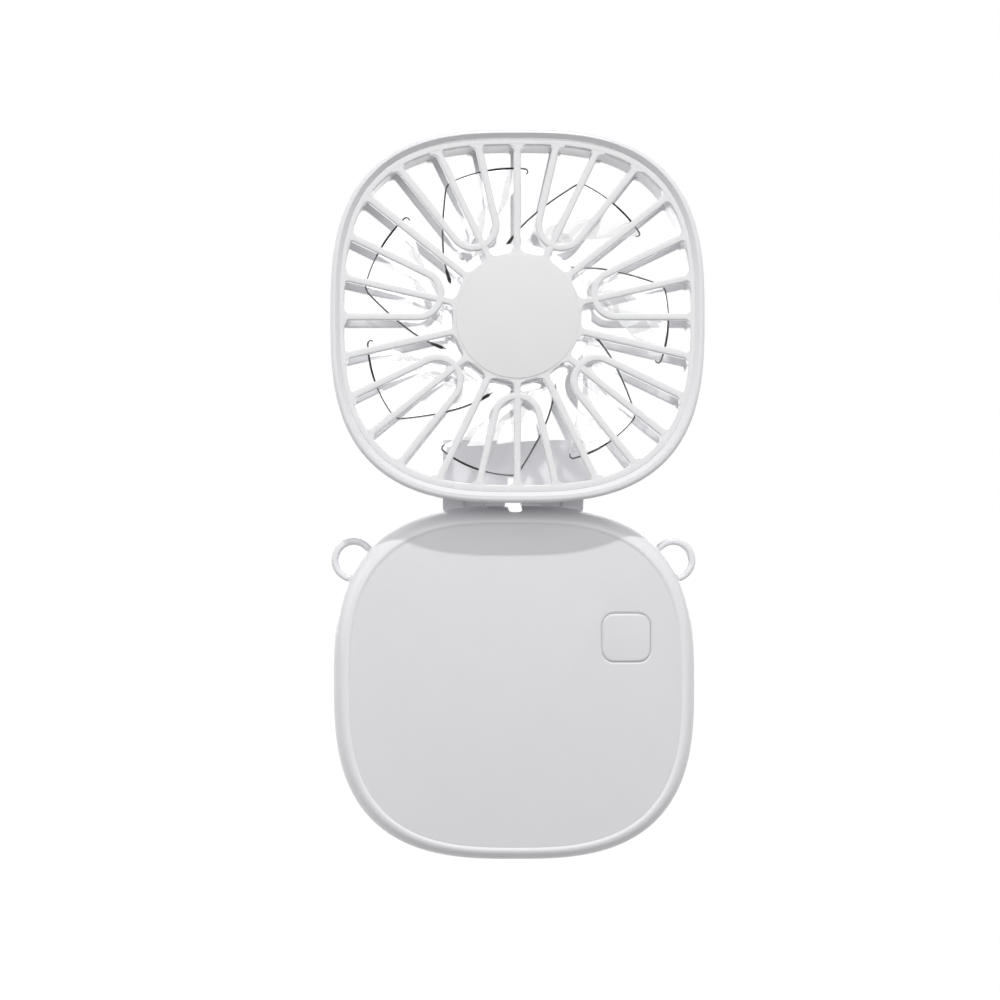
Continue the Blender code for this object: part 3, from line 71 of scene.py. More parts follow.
panel_low, panel_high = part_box("base_front_panel")
base_centre = (panel_low + panel_high) / 2
base_halves = (
    (panel_high.x - panel_low.x) / 2 + PANEL_INSET,
    (panel_high.z - panel_low.z) / 2 + PANEL_INSET,
)
base_front_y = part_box("base_front_shell")[0].y
base_back_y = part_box("base_rear_shell")[1].y
base_top_z = base_centre.z + base_halves[1]


def linear(code):
    """An sRGB hex colour as linear red, green and blue, with full cover."""
    shares = [int(code[i:i + 2], 16) / 255 for i in (0, 2, 4)]
    return (*(s / 12.92 if s <= 0.04045 else ((s + 0.055) / 1.055) ** 2.4 for s in shares), 1)


def feed(tree, node, inputs):
    """Sets inputs of a node, each to a value or to the output that feeds it."""
    for name, value in inputs.items():
        if isinstance(value, bpy.types.NodeSocket):
            tree.links.new(value, node.inputs[name])
        else:
            node.inputs[name].default_value = value


def add_node(tree, kind, inputs, **settings):
    """Adds a node with its settings and inputs, and gives its outputs."""
    made = tree.nodes.new(kind)
    for name, value in settings.items():
        setattr(made, name, value)
    feed(tree, made, inputs)
    return made.outputs


def start_material(name):
    """A new material, its node tree, and the place on the piece that its patterns read."""
    made = bpy.data.materials.new(name)
    made.use_nodes = True
    return made, made.node_tree, add_node(made.node_tree, "ShaderNodeTexCoord", {})["Object"]


def end_material(made, height, depth, inputs):
    """Gives the shader its inputs and the relief of a pattern. The depth is in millimetres."""
    tree = made.node_tree
    relief = add_node(
        tree, "ShaderNodeBump", {"Strength": 1.0, "Distance": depth * MM, "Height": height}
    )
    feed(tree, tree.nodes["Principled BSDF"], {"Normal": relief["Normal"], **inputs})
    return made


def moulded_plastic(name, colour, shade, roughness, grain, depth):
    """Moulded plastic with the fine pits of its tool, and the faint cloud of its colour.

    The grain and the depth are in millimetres.
    """
    made, tree, place = start_material(name)
    cloud = add_node(
        tree, "ShaderNodeTexNoise", {"Vector": place, "Scale": 1 / CLOUD, "Detail": 3.0}
    )["Fac"]
    tint = add_node(
        tree, "ShaderNodeMix", {0: cloud, 6: linear(colour), 7: linear(shade)}, data_type="RGBA"
    )[2]
    inputs = {"Vector": place, "Scale": 1 / (grain * MM), "Detail": 4.0, "Roughness": 0.6}
    pits = add_node(tree, "ShaderNodeTexNoise", inputs)["Fac"]
    inputs = {"Value": cloud, 1: 0.3, 2: 0.7, 3: roughness - 0.03, 4: roughness + 0.03}
    polish = add_node(tree, "ShaderNodeMapRange", inputs)["Result"]
    return end_material(made, pits, depth, {"Base Color": tint, "Roughness": polish, "IOR": 1.52})


def squircle_point(halves, angle):
    """The point of a squircle in this direction from its centre."""
    across = abs(math.cos(angle)) / halves[0]
    up = abs(math.sin(angle)) / halves[1]
    reach = (across**SQUIRCLE_POWER + up**SQUIRCLE_POWER) ** (-1 / SQUIRCLE_POWER)
    return reach * math.cos(angle), reach * math.sin(angle)


def squircle_ring(halves, inset, centre_z):
    inner = (halves[0] - inset, halves[1] - inset)
    turns = [math.tau * step / OUTLINE_STEPS for step in range(OUTLINE_STEPS)]
    return [(x, centre_z + z) for x, z in (squircle_point(inner, turn) for turn in turns)]


def quarter(inset, face_y, across, along, steps):
    """Points of a rounded corner, from so far along the side to so far across on the face."""
    turns = [math.pi / 2 * step / steps for step in range(steps + 1)]
    return [(inset + across * (1 - math.cos(t)), face_y + along * (1 - math.sin(t))) for t in turns]


def soften(made, angle=SHARP):
    """Shades the round parts smooth, and keeps the real edges."""
    made.data.shade_smooth()
    made.data.set_sharp_from_angle(angle=angle)


def add_object(name, data):
    """A new object in the scene, at the origin."""
    made = bpy.data.objects.new(name, data)
    bpy.context.scene.collection.objects.link(made)
    return made


def mesh_object(name, bm, finishes=()):
    """An object with a mesh of its own."""
    mesh = bpy.data.meshes.new(name)
    bm.to_mesh(mesh)
    bm.free()
    for finish in finishes:
        mesh.materials.append(finish)
    return add_object(name, mesh)


def shape(name, bm, *finishes):
    """A body with its faces outwards."""
    bmesh.ops.recalc_face_normals(bm, faces=bm.faces)
    made = mesh_object(name, bm, finishes)
    soften(made)
    return made


def skinned(name, rings, *finishes, closed=False):
    """A body over a stack of rings. The ends are filled, or joined where it is closed."""
    bm = bmesh.new()
    rings = [[bm.verts.new(point) for point in ring] for ring in rings]
    pairs = list(zip(rings, rings[1:]))
    if closed:
        pairs.append((rings[-1], rings[0]))
    else:
        bm.faces.new(rings[0])
        bm.faces.new(list(reversed(rings[-1])))
    for near, far in pairs:
        for step in range(len(near)):
            after = (step + 1) % len(near)
            bm.faces.new((near[step], near[after], far[after], far[step]))
    return shape(name, bm, *finishes)


def lofted(name, outlines, *finishes, closed=False):
    """A body along Y over (outline, y) pairs."""
    rings = [[(x, y, z) for x, z in outline] for outline, y in outlines]
    return skinned(name, rings, *finishes, closed=closed)


def base_rings(profile):
    """Outlines of the base's squircle, from (inset, y) pairs."""
    return [(squircle_ring(base_halves, inset, base_centre.z), y) for inset, y in profile]


def settle(made):
    """Turns an object's modifiers into its mesh."""
    graph = bpy.context.evaluated_depsgraph_get()
    mesh = bpy.data.meshes.new_from_object(made.evaluated_get(graph))
    made.modifiers.clear()
    made.data = mesh
    soften(made)
    return made


def carve(made, *tools, operation="DIFFERENCE"):
    """Cuts the tools out of an object, or joins them to it, and removes them."""
    for tool in tools:
        boolean = made.modifiers.new(tool.name, "BOOLEAN")
        boolean.operation = operation
        boolean.solver = "EXACT"
        boolean.object = tool
    settle(made)
    for tool in tools:
        bpy.data.objects.remove(tool)
    return made


def prism(name, outline, near_y, far_y, *finishes):
    """A straight block along Y on an outline of (x, z) points."""
    return lofted(name, [(outline, near_y), (outline, far_y)], *finishes)


def rectangle(low_x, high_x, low_z, high_z):
    return [(low_x, low_z), (high_x, low_z), (high_x, high_z), (low_x, high_z)]


def circle(radius, centre_x, centre_z, steps):
    turns = [math.tau * step / steps for step in range(steps)]
    return [(centre_x + radius * math.cos(t), centre_z + radius * math.sin(t)) for t in turns]


def turned(name, profile, centre_x, centre_z, steps, *finishes, closed=False):
    """A body turned about a line along Y, from (radius, y) pairs off that line."""
    outlines = [(circle(radius, centre_x, centre_z, steps), y) for radius, y in profile]
    return lofted(name, outlines, *finishes, closed=closed)


def disc(name, radius, centre_x, centre_z, near_y, far_y, *finishes, steps=64):
    return turned(name, [(radius, near_y), (radius, far_y)], centre_x, centre_z, steps, *finishes)


def rounded_outline(low, high, corner, steps):
    """Outline of the rectangle between two points, with arcs for corners."""
    points = []
    for quadrant, (far, upper) in enumerate(((1, 1), (0, 1), (0, 0), (1, 0))):
        across = high[0] - corner if far else low[0] + corner
        up = high[1] - corner if upper else low[1] + corner
        for step in range(steps + 1):
            angle = math.pi / 2 * (quadrant + step / steps)
            points.append((across + corner * math.cos(angle), up + corner * math.sin(angle)))
    return points


button_low, button_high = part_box("power_button")
BUTTON_SIDE = 12.3 * MM
BUTTON_CORNER = 3.2 * MM
BUTTON_GAP = 0.05 * MM
BUTTON_SHIFT = (0.4 * MM, -0.25 * MM)
LIP_FALL = 0.36
button_x = (button_low.x + button_high.x) / 2 + BUTTON_SHIFT[0]
button_z = (button_low.z + button_high.z) / 2 + BUTTON_SHIFT[1]


def button_outline(inset):
    """The button's outline, drawn in by this much."""
    half = BUTTON_SIDE / 2 - inset
    low, high = (button_x - half, button_z - half), (button_x + half, button_z + half)
    return rounded_outline(low, high, BUTTON_CORNER - inset, CORNER_STEPS)


def button_hole(name, face_y, far_y, lip):
    """The button's opening through a plate, with a small lip round its front edge."""
    wide, narrow = button_outline(-BUTTON_GAP - lip), button_outline(-BUTTON_GAP)
    stack = [(wide, face_y - OVERRUN), (wide, face_y - HAIR)]
    stack += [(narrow, face_y + LIP_FALL * lip), (narrow, far_y + OVERRUN)]
    return lofted(name, stack)


NOTCH_HALF = 1.7 * MM
NOTCH_DEPTH = 1.6 * MM
NOTCH_ROUND = 0.62 * NOTCH_DEPTH
NOTCH_POWER = 0.6
NOTCH_STEPS = 16
MOUTH_STEPS = 32
SLOT_SHIFT = 0.1 * MM
loop_low, loop_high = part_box("strap_loop_right")
loop_radius = (loop_high.z - loop_low.z) / 2
loop_x = loop_high.x - loop_radius


def case_cutters(name):
    """What both shells give way to: the loops' seats, the top notch and the socket's mouth."""
    reach = (loop_high.y - loop_low.y) / 2 + PARTING
    seats = [
        disc(f"{name}_seat_{x > 0}", loop_radius + PARTING, x, 0, -reach, reach)
        for x in (-loop_x, loop_x)
    ]
    floor_z = base_top_z - NOTCH_DEPTH
    outline = [(SLOT_SHIFT + x, base_top_z + OVERRUN) for x in (NOTCH_HALF, -NOTCH_HALF)]
    for step in range(NOTCH_STEPS + 1):
        turn = math.pi + math.pi * step / NOTCH_STEPS
        x = NOTCH_HALF * math.copysign(abs(math.cos(turn)) ** NOTCH_POWER, math.cos(turn))
        z = floor_z + NOTCH_ROUND * (1 - abs(math.sin(turn)) ** NOTCH_POWER)
        outline.append((SLOT_SHIFT + x, z))
    notch = prism(f"{name}_notch", outline, base_front_y - OVERRUN, base_back_y + OVERRUN)
    low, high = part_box("usb_socket")
    middle, round_end = (low + high) / 2, (high.y - low.y) / 2
    mouth = []
    for step in range(MOUTH_STEPS):
        turn = math.tau * (step + 0.5) / MOUTH_STEPS
        side = math.copysign((high.x - low.x) / 2 - round_end, math.cos(turn))
        x = middle.x + side + (round_end + PARTING) * math.cos(turn)
        mouth.append((x, middle.y + (round_end + PARTING) * math.sin(turn)))
    rings = [[(x, y, z) for x, y in mouth] for z in (low.z - OVERRUN, high.z)]
    return seats + [notch, skinned(f"{name}_mouth", rings)]


# Glossy white ABS from a polished tool: a clean near-white with a faint cloud and barely any grain
white_abs = moulded_plastic("moulded_white_abs", "E3E3E6", "E0E0E3", 0.30, 0.35, 0.002)

cavity_y = base_front_y + PANEL_SEAT + SEAT_PLATE
crest_y = panel_low.y - RIM_FALL
rim_inner = SHELL_EDGE + RIM_WIDTH
profile = [(SHELL_EDGE + SHELL_WALL / 2, cavity_y), (SHELL_WALL, cavity_y / 2)]
profile += [(SHELL_WALL, -PARTING), (PARTING, -PARTING)]
profile += quarter(0, crest_y, SHELL_EDGE, -2 * PARTING - crest_y, EDGE_STEPS)
profile.append((SHELL_EDGE + RIM_WIDTH / 5, crest_y + RIM_CROWN))
profile += [(rim_inner, crest_y + RIM_FALL), (rim_inner, base_front_y + PANEL_SEAT)]
front_shell = lofted("front_shell", base_rings(profile), white_abs)
hole = button_hole("shell_hole", base_front_y, cavity_y, 0)
carve(front_shell, hole, *case_cutters("front"))
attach(front_shell, "base")
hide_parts("base_front_shell")

# Rear shell of the base: the back half of the case in the same ABS. It carries the counterbored
# screw seats, the pocket that the hinge leaf folds into, and the base's two hinge knuckles.

BARREL_RADIUS = 3.2 * MM
BARREL_STEPS = 48
PIN_BORE = 1.3 * MM
LEAF_HALF = 18.1 * MM
SUNK = 0.4 * MM
POCKET_GAP = 0.4 * MM
POCKET_WALL = 1.3 * MM
POCKET_END = 0.9 * MM
POCKET_FLOOR_Y = 1.4 * MM
POCKET_LIP = 0.35 * MM
BASE_KNUCKLE = (7.5 * MM, 12.1 * MM)
ROOT_BELOW_AXIS = 1.2 * MM
SEAT_RADIUS = 1.75 * MM
SEAT_DEPTH = 1.45 * MM
case_names = [f"case_screw_{number}" for number in range(1, 5)]
pin_low, pin_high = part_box("hinge_pin_right")
axis_y, axis_z = (pin_low.y + pin_high.y) / 2, (pin_low.z + pin_high.z) / 2
leaf_top_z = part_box("neck_leaf")[1].z


def along_x(name, outline, low_x, high_x):
    """A straight block along X on an outline of (y, z) points."""
    return skinned(name, [[(x, y, z) for y, z in outline] for x in (low_x, high_x)])


def knuckles(name, spans, roots):
    """Hinge knuckles on both sides: barrels round the pin, drawn out to what carries them."""
    barrel = circle(BARREL_RADIUS, axis_y, axis_z, BARREL_STEPS)
    points = [Vector(point) for point in roots + barrel]
    outline = [points[i] for i in convex_hull_2d(points)]
    ends = [sorted((side * near, side * far)) for side in (-1, 1) for near, far in spans]
    return [along_x(name, outline, low_x, high_x) for low_x, high_x in ends]


def pin_bore(name):
    """The bore for the hinge pins, right through along X."""
    bore = circle(PIN_BORE, axis_y, axis_z, BARREL_STEPS)
    return along_x(name, bore, -LEAF_HALF - OVERRUN, LEAF_HALF + OVERRUN)


def screw_places(*names):
    """Where screws of these CAD nodes stand, as (x, z), and how far back their heads reach."""
    boxes = [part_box(name) for name in names]
    places = [((low.x + high.x) / 2, (low.z + high.z) / 2) for low, high in boxes]
    return places, boxes[0][1].y


def counterbores(name, places, back_y):
    return [
        disc(f"{name}_{count}", SEAT_RADIUS, x, z, back_y - SEAT_DEPTH, back_y + OVERRUN, steps=40)
        for count, (x, z) in enumerate(places)
    ]


cavity_y = base_back_y - SHELL_WALL
profile = [(SHELL_EDGE + SHELL_WALL / 2, cavity_y), (SHELL_WALL, cavity_y / 2)]
profile += [(SHELL_WALL, PARTING), (PARTING, PARTING)]
profile += quarter(0, base_back_y, SHELL_EDGE, 2 * PARTING - base_back_y, EDGE_STEPS)
rear_shell = lofted("rear_shell", base_rings(profile), white_abs)
pocket_half = LEAF_HALF + POCKET_GAP
pocket_low = 2 * axis_z - leaf_top_z - POCKET_END
walls_half, walls_low = pocket_half + POCKET_WALL, pocket_low - POCKET_WALL
walls = rectangle(-walls_half, walls_half, walls_low, base_top_z - SHELL_WALL * 0.75)
walls = prism("pocket_walls", walls, 2 * PARTING, cavity_y + SUNK)
carve(rear_shell, walls, operation="UNION")
space, mouth = (
    rectangle(-pocket_half - lip, pocket_half + lip, pocket_low - lip, axis_z + OVERRUN)
    for lip in (0, POCKET_LIP)
)
stack = [(space, POCKET_FLOOR_Y), (space, base_back_y - POCKET_LIP)]
stack += [(mouth, base_back_y + HAIR), (mouth, base_back_y + OVERRUN)]
pocket = lofted("pocket", stack)
case_places, case_screw_back = screw_places(*case_names)
carve(rear_shell, pocket, *counterbores("seat", case_places, base_back_y), *case_cutters("rear"))
wall_y = POCKET_FLOOR_Y - SUNK
roots = [(wall_y, axis_z - BARREL_RADIUS), (wall_y, axis_z - ROOT_BELOW_AXIS)]
carve(rear_shell, *knuckles("base_knuckle", [BASE_KNUCKLE], roots), operation="UNION")
carve(rear_shell, pin_bore("base_bore"))
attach(rear_shell, "base")
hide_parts("base_rear_shell")

# Front panel of the base: a thin plate of satin ABS, glued into the front shell so closely that
# only the shell's narrow bright rim shows round it. It has the button's opening, and is plain.

PANEL_SOFT = 0.06 * MM
PANEL_CREASE = math.radians(15)
BUTTON_LIP = 0.45 * MM

# Satin ABS from a spark-eroded tool: a matt, slightly greyer face than the gloss shell round it
satin_abs = moulded_plastic("satin_textured_abs", "DAD9DC", "D7D6D9", 0.46, 0.22, 0.005)

side = rim_inner + HAIR
profile = [(side, panel_high.y)]
profile += quarter(side, panel_low.y, PANEL_SOFT, PANEL_SOFT, 4)
panel = lofted("front_panel", base_rings(profile), satin_abs)
carve(panel, button_hole("panel_hole", panel_low.y, panel_high.y, BUTTON_LIP))
soften(panel, PANEL_CREASE)
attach(panel, "base")
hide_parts("base_front_panel")

# Strap loops: two ears of white ABS with a large eye, pinched between the shells on their seats.
# Each shows as a half ring with fully rounded edges on the case's shoulder.

LOOP_EYE = 3.9 * MM
LOOP_SOFT = 0.75 * MM
LOOP_STEPS = 96
WEB_SHARE = 0.6
WEB_INSET = 0.3 * MM


def join_pieces(name, *parts):
    """One object from several, each a closed body in the same mesh."""
    finishes = list(dict.fromkeys(finish for part in parts for finish in part.data.materials))
    bm = bmesh.new()
    for part in parts:
        order = [finishes.index(finish) for finish in part.data.materials]
        before = len(bm.faces)
        bm.from_mesh(part.data)
        bm.faces.ensure_lookup_table()
        for face in bm.faces[before:]:
            face.material_index = order[face.material_index]
        bpy.data.objects.remove(part)
    made = mesh_object(name, bm, finishes)
    soften(made)
    return made


section = rounded_outline((LOOP_EYE, loop_low.y), (loop_radius, loop_high.y), LOOP_SOFT, 6)
near_y, far_y = WEB_SHARE * loop_low.y, WEB_SHARE * loop_high.y
inside = [(WEB_INSET, base_front_y), (WEB_INSET, base_back_y)]
for side, word in ((-1, "left"), (1, "right")):
    ring = turned("ring", section, side * loop_x, 0, LOOP_STEPS, white_abs, closed=True)
    web = disc("web", LOOP_EYE + LOOP_SOFT, side * loop_x, 0, near_y, far_y, white_abs)
    carve(web, lofted("case_side", base_rings(inside)), operation="INTERSECT")
    loop = join_pieces(f"loop_{word}", ring, web)
    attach(loop, "base")
    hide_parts(f"strap_loop_{word}")

# Power button: a square key of the panel's satin ABS with a soft edge and a hidden flange. It
# stands a hair proud of the panel and presses straight in onto its switch.

KEY_SOFT = 0.75 * MM
KEY_PROUD = 0.1 * MM
KEY_STEPS = 8
FLANGE = 0.9 * MM
FLANGE_THICKNESS = 0.8 * MM

flange_y = base_front_y + PANEL_SEAT + SEAT_PLATE + 2 * PARTING
edge = quarter(0, button_low.y - KEY_PROUD, KEY_SOFT, KEY_SOFT, KEY_STEPS)[::-1]
edge += [(0, flange_y), (-FLANGE, flange_y), (-FLANGE, flange_y + FLANGE_THICKNESS)]
key = lofted("button_key", [(button_outline(inset), y) for inset, y in edge], satin_abs)
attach(key, "button")
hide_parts("power_button")

# Housing of the head: a square-round ring of white ABS, the duct that the impeller turns in. Its
# rounded front rim bevels in to the front grille, which sits a little high. A step at the back
# takes the rear grille.

HOUSING_SIDE = (1.95 * MM, 2.09 * MM)
HEAD_WALL = 1.8 * MM
RIM_ROUND = 1.0 * MM
RIM_DEPTH = 1.1 * MM
RIM_STEPS = 12
BEVEL_START = 1.27 * MM
BEVEL_END = 2.25 * MM
BEVEL_DEPTH = 0.95 * MM
BEVEL_SOFT = 0.1 * MM
GRILLE_RISE = 0.42 * MM
REAR_DEPTH = 2.2 * MM
BACK_RIM_DEPTH = 1.6 * MM
SEAT_WALL = 0.9 * MM
head_low, head_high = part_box("front_grille")
head_halves = (
    (head_high.x - head_low.x) / 2 + HOUSING_SIDE[0],
    (head_high.z - head_low.z) / 2 + HOUSING_SIDE[1],
)
head_z = ((head_low + head_high) / 2).z
housing_low, housing_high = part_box("rear_housing")
head_front_y, head_back_y = housing_low.y, housing_high.y
rear_plate_y = head_back_y - REAR_DEPTH


def head_rings(profile, rise=0):
    """Outlines about the head's centre, or a little above it, from (inset, y) pairs."""
    return [(squircle_ring(head_halves, inset, head_z + rise), y) for inset, y in profile]


bevel_y = head_front_y + BEVEL_DEPTH
duct = [(SEAT_WALL, rear_plate_y - PARTING), (HEAD_WALL, rear_plate_y - PARTING)]
duct.append((HEAD_WALL, bevel_y + 2 * BEVEL_SOFT))
bevel = [(BEVEL_END, bevel_y + BEVEL_SOFT), (BEVEL_END, bevel_y)]
bevel += [(BEVEL_START + BEVEL_SOFT, head_front_y + BEVEL_SOFT), (BEVEL_START, head_front_y)]
rim = quarter(0, head_front_y, RIM_ROUND, RIM_DEPTH, RIM_STEPS)[::-1]
back = quarter(0, head_back_y, SEAT_WALL, -BACK_RIM_DEPTH, CORNER_STEPS)
outlines = head_rings(duct) + head_rings(bevel, GRILLE_RISE)
outlines += head_rings(rim, GRILLE_RISE / 6) + head_rings(back)
housing = lofted("head_housing", outlines, white_abs, closed=True)
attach(housing, "head")
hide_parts("rear_housing")

# Front grille: one moulding of grille ABS that plugs into the housing. Fourteen straight ribs and
# seven arches run from the ring to the hub, each with rounded edges and a small foot at its ends.

ARCHES = 7
RIB_TURN = math.tau / (4 * ARCHES)
BOTTOM = -math.pi / 2
APEX_RADIUS = 19.4 * MM
HUB_RADIUS = 15.8 * MM
HUB_SOFT = 0.3 * MM
HUB_SEAT = (15.13 * MM, 1.2 * MM)
HUB_STEPS = 160
SKIRT_SIDE = 2.1 * MM
SKIRT_WALL = 0.6 * MM
RING_SIDE = BEVEL_END + 0.03 * MM
RING_BEAD = 0.08 * MM
RING_OPENING = (3.42 * MM, 4.0 * MM)
RING_SOFT = 0.25 * MM
SOFT_STEPS = 5
RIB_WIDTH = 1.7 * MM
RIB_DEPTH = 1.8 * MM
RIB_EDGE = 0.35 * MM
RIB_FOOT = 1.1 * MM
FINE_STEP = 0.14 * MM
FINE_STEPS = 14
BEND_STEPS = 28
BURIED = 0.5 * MM
SLIGHT = 0.012 * MM


def start_tree(name, **inputs):
    """A node tree with these inputs, by name and kind, and the sockets that they come in by."""
    tree = bpy.data.node_groups.new(name, "GeometryNodeTree")
    for word, kind in {"Geometry": "Geometry", **inputs}.items():
        tree.interface.new_socket(name=word, in_out="INPUT", socket_type="NodeSocket" + kind)
    tree.interface.new_socket(name="Geometry", in_out="OUTPUT", socket_type="NodeSocketGeometry")
    return tree, tree.nodes.new("NodeGroupInput").outputs


def end_tree(tree, geometry, finish):
    """Makes copies real, gives them their finish and sends them out."""
    real = add_node(tree, "GeometryNodeRealizeInstances", {"Geometry": geometry})["Geometry"]
    done = add_node(tree, "GeometryNodeSetMaterial", {"Geometry": real, "Material": finish})
    add_node(tree, "NodeGroupOutput", {"Geometry": done["Geometry"]})
    return tree


def ribs_tree():
    """Sweeps each centre line into a rib with rounded edges that widens to a foot at its ends."""
    floats = dict.fromkeys(("Width", "Depth", "Edge", "Foot", "Buried"), "Float")
    tree, given = start_tree("Grille ribs", **floats, Place="Vector", Finish="Material")
    lines = add_node(tree, "GeometryNodeMeshToCurve", {"Mesh": given["Geometry"]})["Curve"]
    lines = add_node(tree, "GeometryNodeSetCurveNormal", {"Curve": lines}, mode="Z_UP")["Curve"]
    known = {name: given[name] for name in floats}
    known["along"] = add_node(tree, "GeometryNodeSplineParameter", {})["Length"]
    known["whole"] = add_node(tree, "GeometryNodeSplineLength", {})["Length"]
    # The foot is a quarter round: its spread follows from how near the shown end of the rib is
    for name, operation, first, second in (
        ("other", "SUBTRACT", "whole", "along"),
        ("nearer", "MINIMUM", "along", "other"),
        ("bare", "SUBTRACT", "nearer", "Buried"),
        ("shown", "MAXIMUM", "bare", 0.0),
        ("short", "SUBTRACT", "Foot", "shown"),
        ("left", "MAXIMUM", "short", 0.0),
        ("left_squared", "MULTIPLY", "left", "left"),
        ("foot_squared", "MULTIPLY", "Foot", "Foot"),
        ("rest", "SUBTRACT", "foot_squared", "left_squared"),
        ("root", "SQRT", "rest", 0.0),
        ("spread", "SUBTRACT", "Foot", "root"),
        ("half", "MULTIPLY", "Width", 0.5),
        ("share", "DIVIDE", "spread", "half"),
        ("scale", "ADD", "share", 1.0),
        ("limit", "MULTIPLY", "Depth", 0.5),
        ("lowest", "MULTIPLY", "limit", -1.0),
    ):
        inputs = {0: known.get(first, first), 1: known.get(second, second)}
        known[name] = add_node(tree, "ShaderNodeMath", inputs, operation=operation)["Value"]
    inputs = {"Width": given["Width"], "Height": given["Depth"]}
    section = add_node(tree, "GeometryNodeCurvePrimitiveQuadrilateral", inputs)["Curve"]
    inputs = {"Curve": section, "Count": 4, "Radius": given["Edge"]}
    section = add_node(tree, "GeometryNodeFilletCurve", inputs, mode="POLY")["Curve"]
    inputs = {"Curve": lines, "Profile Curve": section, "Scale": known["scale"]}
    swept = add_node(tree, "GeometryNodeCurveToMesh", {**inputs, "Fill Caps": True})["Mesh"]
    position = add_node(tree, "GeometryNodeInputPosition", {})["Position"]
    x, y, z = add_node(tree, "ShaderNodeSeparateXYZ", {"Vector": position})
    inputs = {"Value": z, "Min": known["lowest"], "Max": known["limit"]}
    flat = add_node(tree, "ShaderNodeClamp", inputs)["Result"]
    level = add_node(tree, "ShaderNodeCombineXYZ", {"X": x, "Y": y, "Z": flat})["Vector"]
    inputs = {"Geometry": swept, "Position": level}
    levelled = add_node(tree, "GeometryNodeSetPosition", inputs)["Geometry"]
    upright = (math.pi / 2, 0, 0)
    inputs = {"Geometry": levelled, "Translation": given["Place"], "Rotation": upright}
    stood = add_node(tree, "GeometryNodeTransform", inputs)["Geometry"]
    return end_tree(tree, stood, given["Finish"])


def grow(made, tree, **values):
    """Runs a tree on an object, with its named inputs set, and keeps the mesh that it makes."""
    modifier = made.modifiers.new(tree.name, "NODES")
    modifier.node_group = tree
    for item in tree.interface.items_tree:
        if item.in_out == "INPUT" and item.name in values:
            modifier[item.identifier] = values[item.name]
    return settle(made)


def direction(angle):
    return Vector((math.cos(angle), math.sin(angle), 0))


def rib_run(start, halves, rise, angle):
    """Points along a straight rib into the ring, close together where its ends widen."""
    reach = Vector(squircle_point(halves, angle)).length + rise * math.sin(angle) + BURIED
    length = reach - start
    fine = [FINE_STEP * step for step in range(FINE_STEPS)]
    middle = [length * share for share in (0.2, 0.35, 0.5, 0.65, 0.8)]
    middle = [d for d in middle if fine[-1] < d < length - fine[-1]]
    distances = fine + middle + [length - d for d in reversed(fine)]
    return [direction(angle) * (start + d) for d in distances]


def straight_lines(halves, rise):
    """Centre lines of the straight ribs, from the hub to the ring, in the grille's own plane."""
    angles = [BOTTOM + 2 * RIB_TURN * rib for rib in range(2 * ARCHES)]
    return [rib_run(HUB_RADIUS - BURIED, halves, rise, angle) for angle in angles]


def arch_lines(halves, rise):
    """Centre lines of the arches: in along one leg, round the crown and out along the other."""
    lines = []
    crown = APEX_RADIUS / (1 - math.sin(RIB_TURN))
    radius = crown * math.sin(RIB_TURN)
    tangent = crown * math.cos(RIB_TURN)
    for arch in range(ARCHES):
        middle = BOTTOM + 4 * RIB_TURN * arch
        along, beside = direction(middle), direction(middle + math.pi / 2)
        angles = (middle + RIB_TURN, middle - RIB_TURN)
        first, last = (rib_run(tangent, halves, rise, angle)[1:] for angle in angles)
        bend = []
        for step in range(BEND_STEPS + 1):
            turn = math.pi / 2 + RIB_TURN + (math.pi - 2 * RIB_TURN) * step / BEND_STEPS
            out, aside = crown + radius * math.cos(turn), radius * math.sin(turn)
            bend.append(along * out + beside * aside)
        lines.append(first[::-1] + bend + last)
    return lines


def line_object(name, lines):
    bm = bmesh.new()
    for line in lines:
        points = [bm.verts.new(point) for point in line]
        for near, far in zip(points, points[1:]):
            bm.edges.new((near, far))
    return mesh_object(name, bm)


def grille_ribs(name, opening, rise, width, near_y, far_y, finish):
    """All ribs of a grille. The straight ones lie a hair below the arches, as they were cut."""
    sizes = {"Width": width, "Edge": RIB_EDGE, "Foot": RIB_FOOT, "Buried": BURIED}
    sizes["Place"] = (0, (near_y + far_y) / 2, head_z)
    sets = []
    for word, lines, drop in (
        ("straight", straight_lines(opening, rise), SLIGHT),
        ("arched", arch_lines(opening, rise), 0),
    ):
        single = line_object(f"{name}_{word}", lines)
        depth = far_y - near_y - 2 * drop
        sets.append(grow(single, rib_sweep, Depth=depth, Finish=finish, **sizes))
    return sets


# Grille ABS, polished: a clean, very slightly warm white that takes a soft highlight on its edges
grille_abs = moulded_plastic("moulded_grille_abs", "E2E2E3", "DFDFE1", 0.28, 0.4, 0.002)

rib_sweep = ribs_tree()
front_y, back_y, skirt_y = head_low.y, head_low.y + RIB_DEPTH, head_high.y
ring_front, ring_back = front_y - SLIGHT, back_y + SLIGHT
skirt_inner = SKIRT_SIDE + SKIRT_WALL
outlines = head_rings([(SKIRT_SIDE, skirt_y), (SKIRT_SIDE, ring_front + 3 * RING_BEAD)])
outlines += head_rings(quarter(RING_SIDE, ring_front, RING_BEAD, RING_BEAD, 3), GRILLE_RISE)
opening = tuple(half - inset for half, inset in zip(head_halves, RING_OPENING))
lip = quarter(0, ring_front, RING_SOFT, RING_SOFT, SOFT_STEPS)[::-1] + [(0, ring_back)]
outlines += [(squircle_ring(opening, -inset, head_z + GRILLE_RISE), y) for inset, y in lip]
outlines += head_rings([(skirt_inner, ring_back), (skirt_inner, skirt_y)])
grille_ring = lofted("grille_ring", outlines, grille_abs, closed=True)
seat_radius, seat_depth = HUB_SEAT
section = [(HUB_RADIUS, ring_back)]
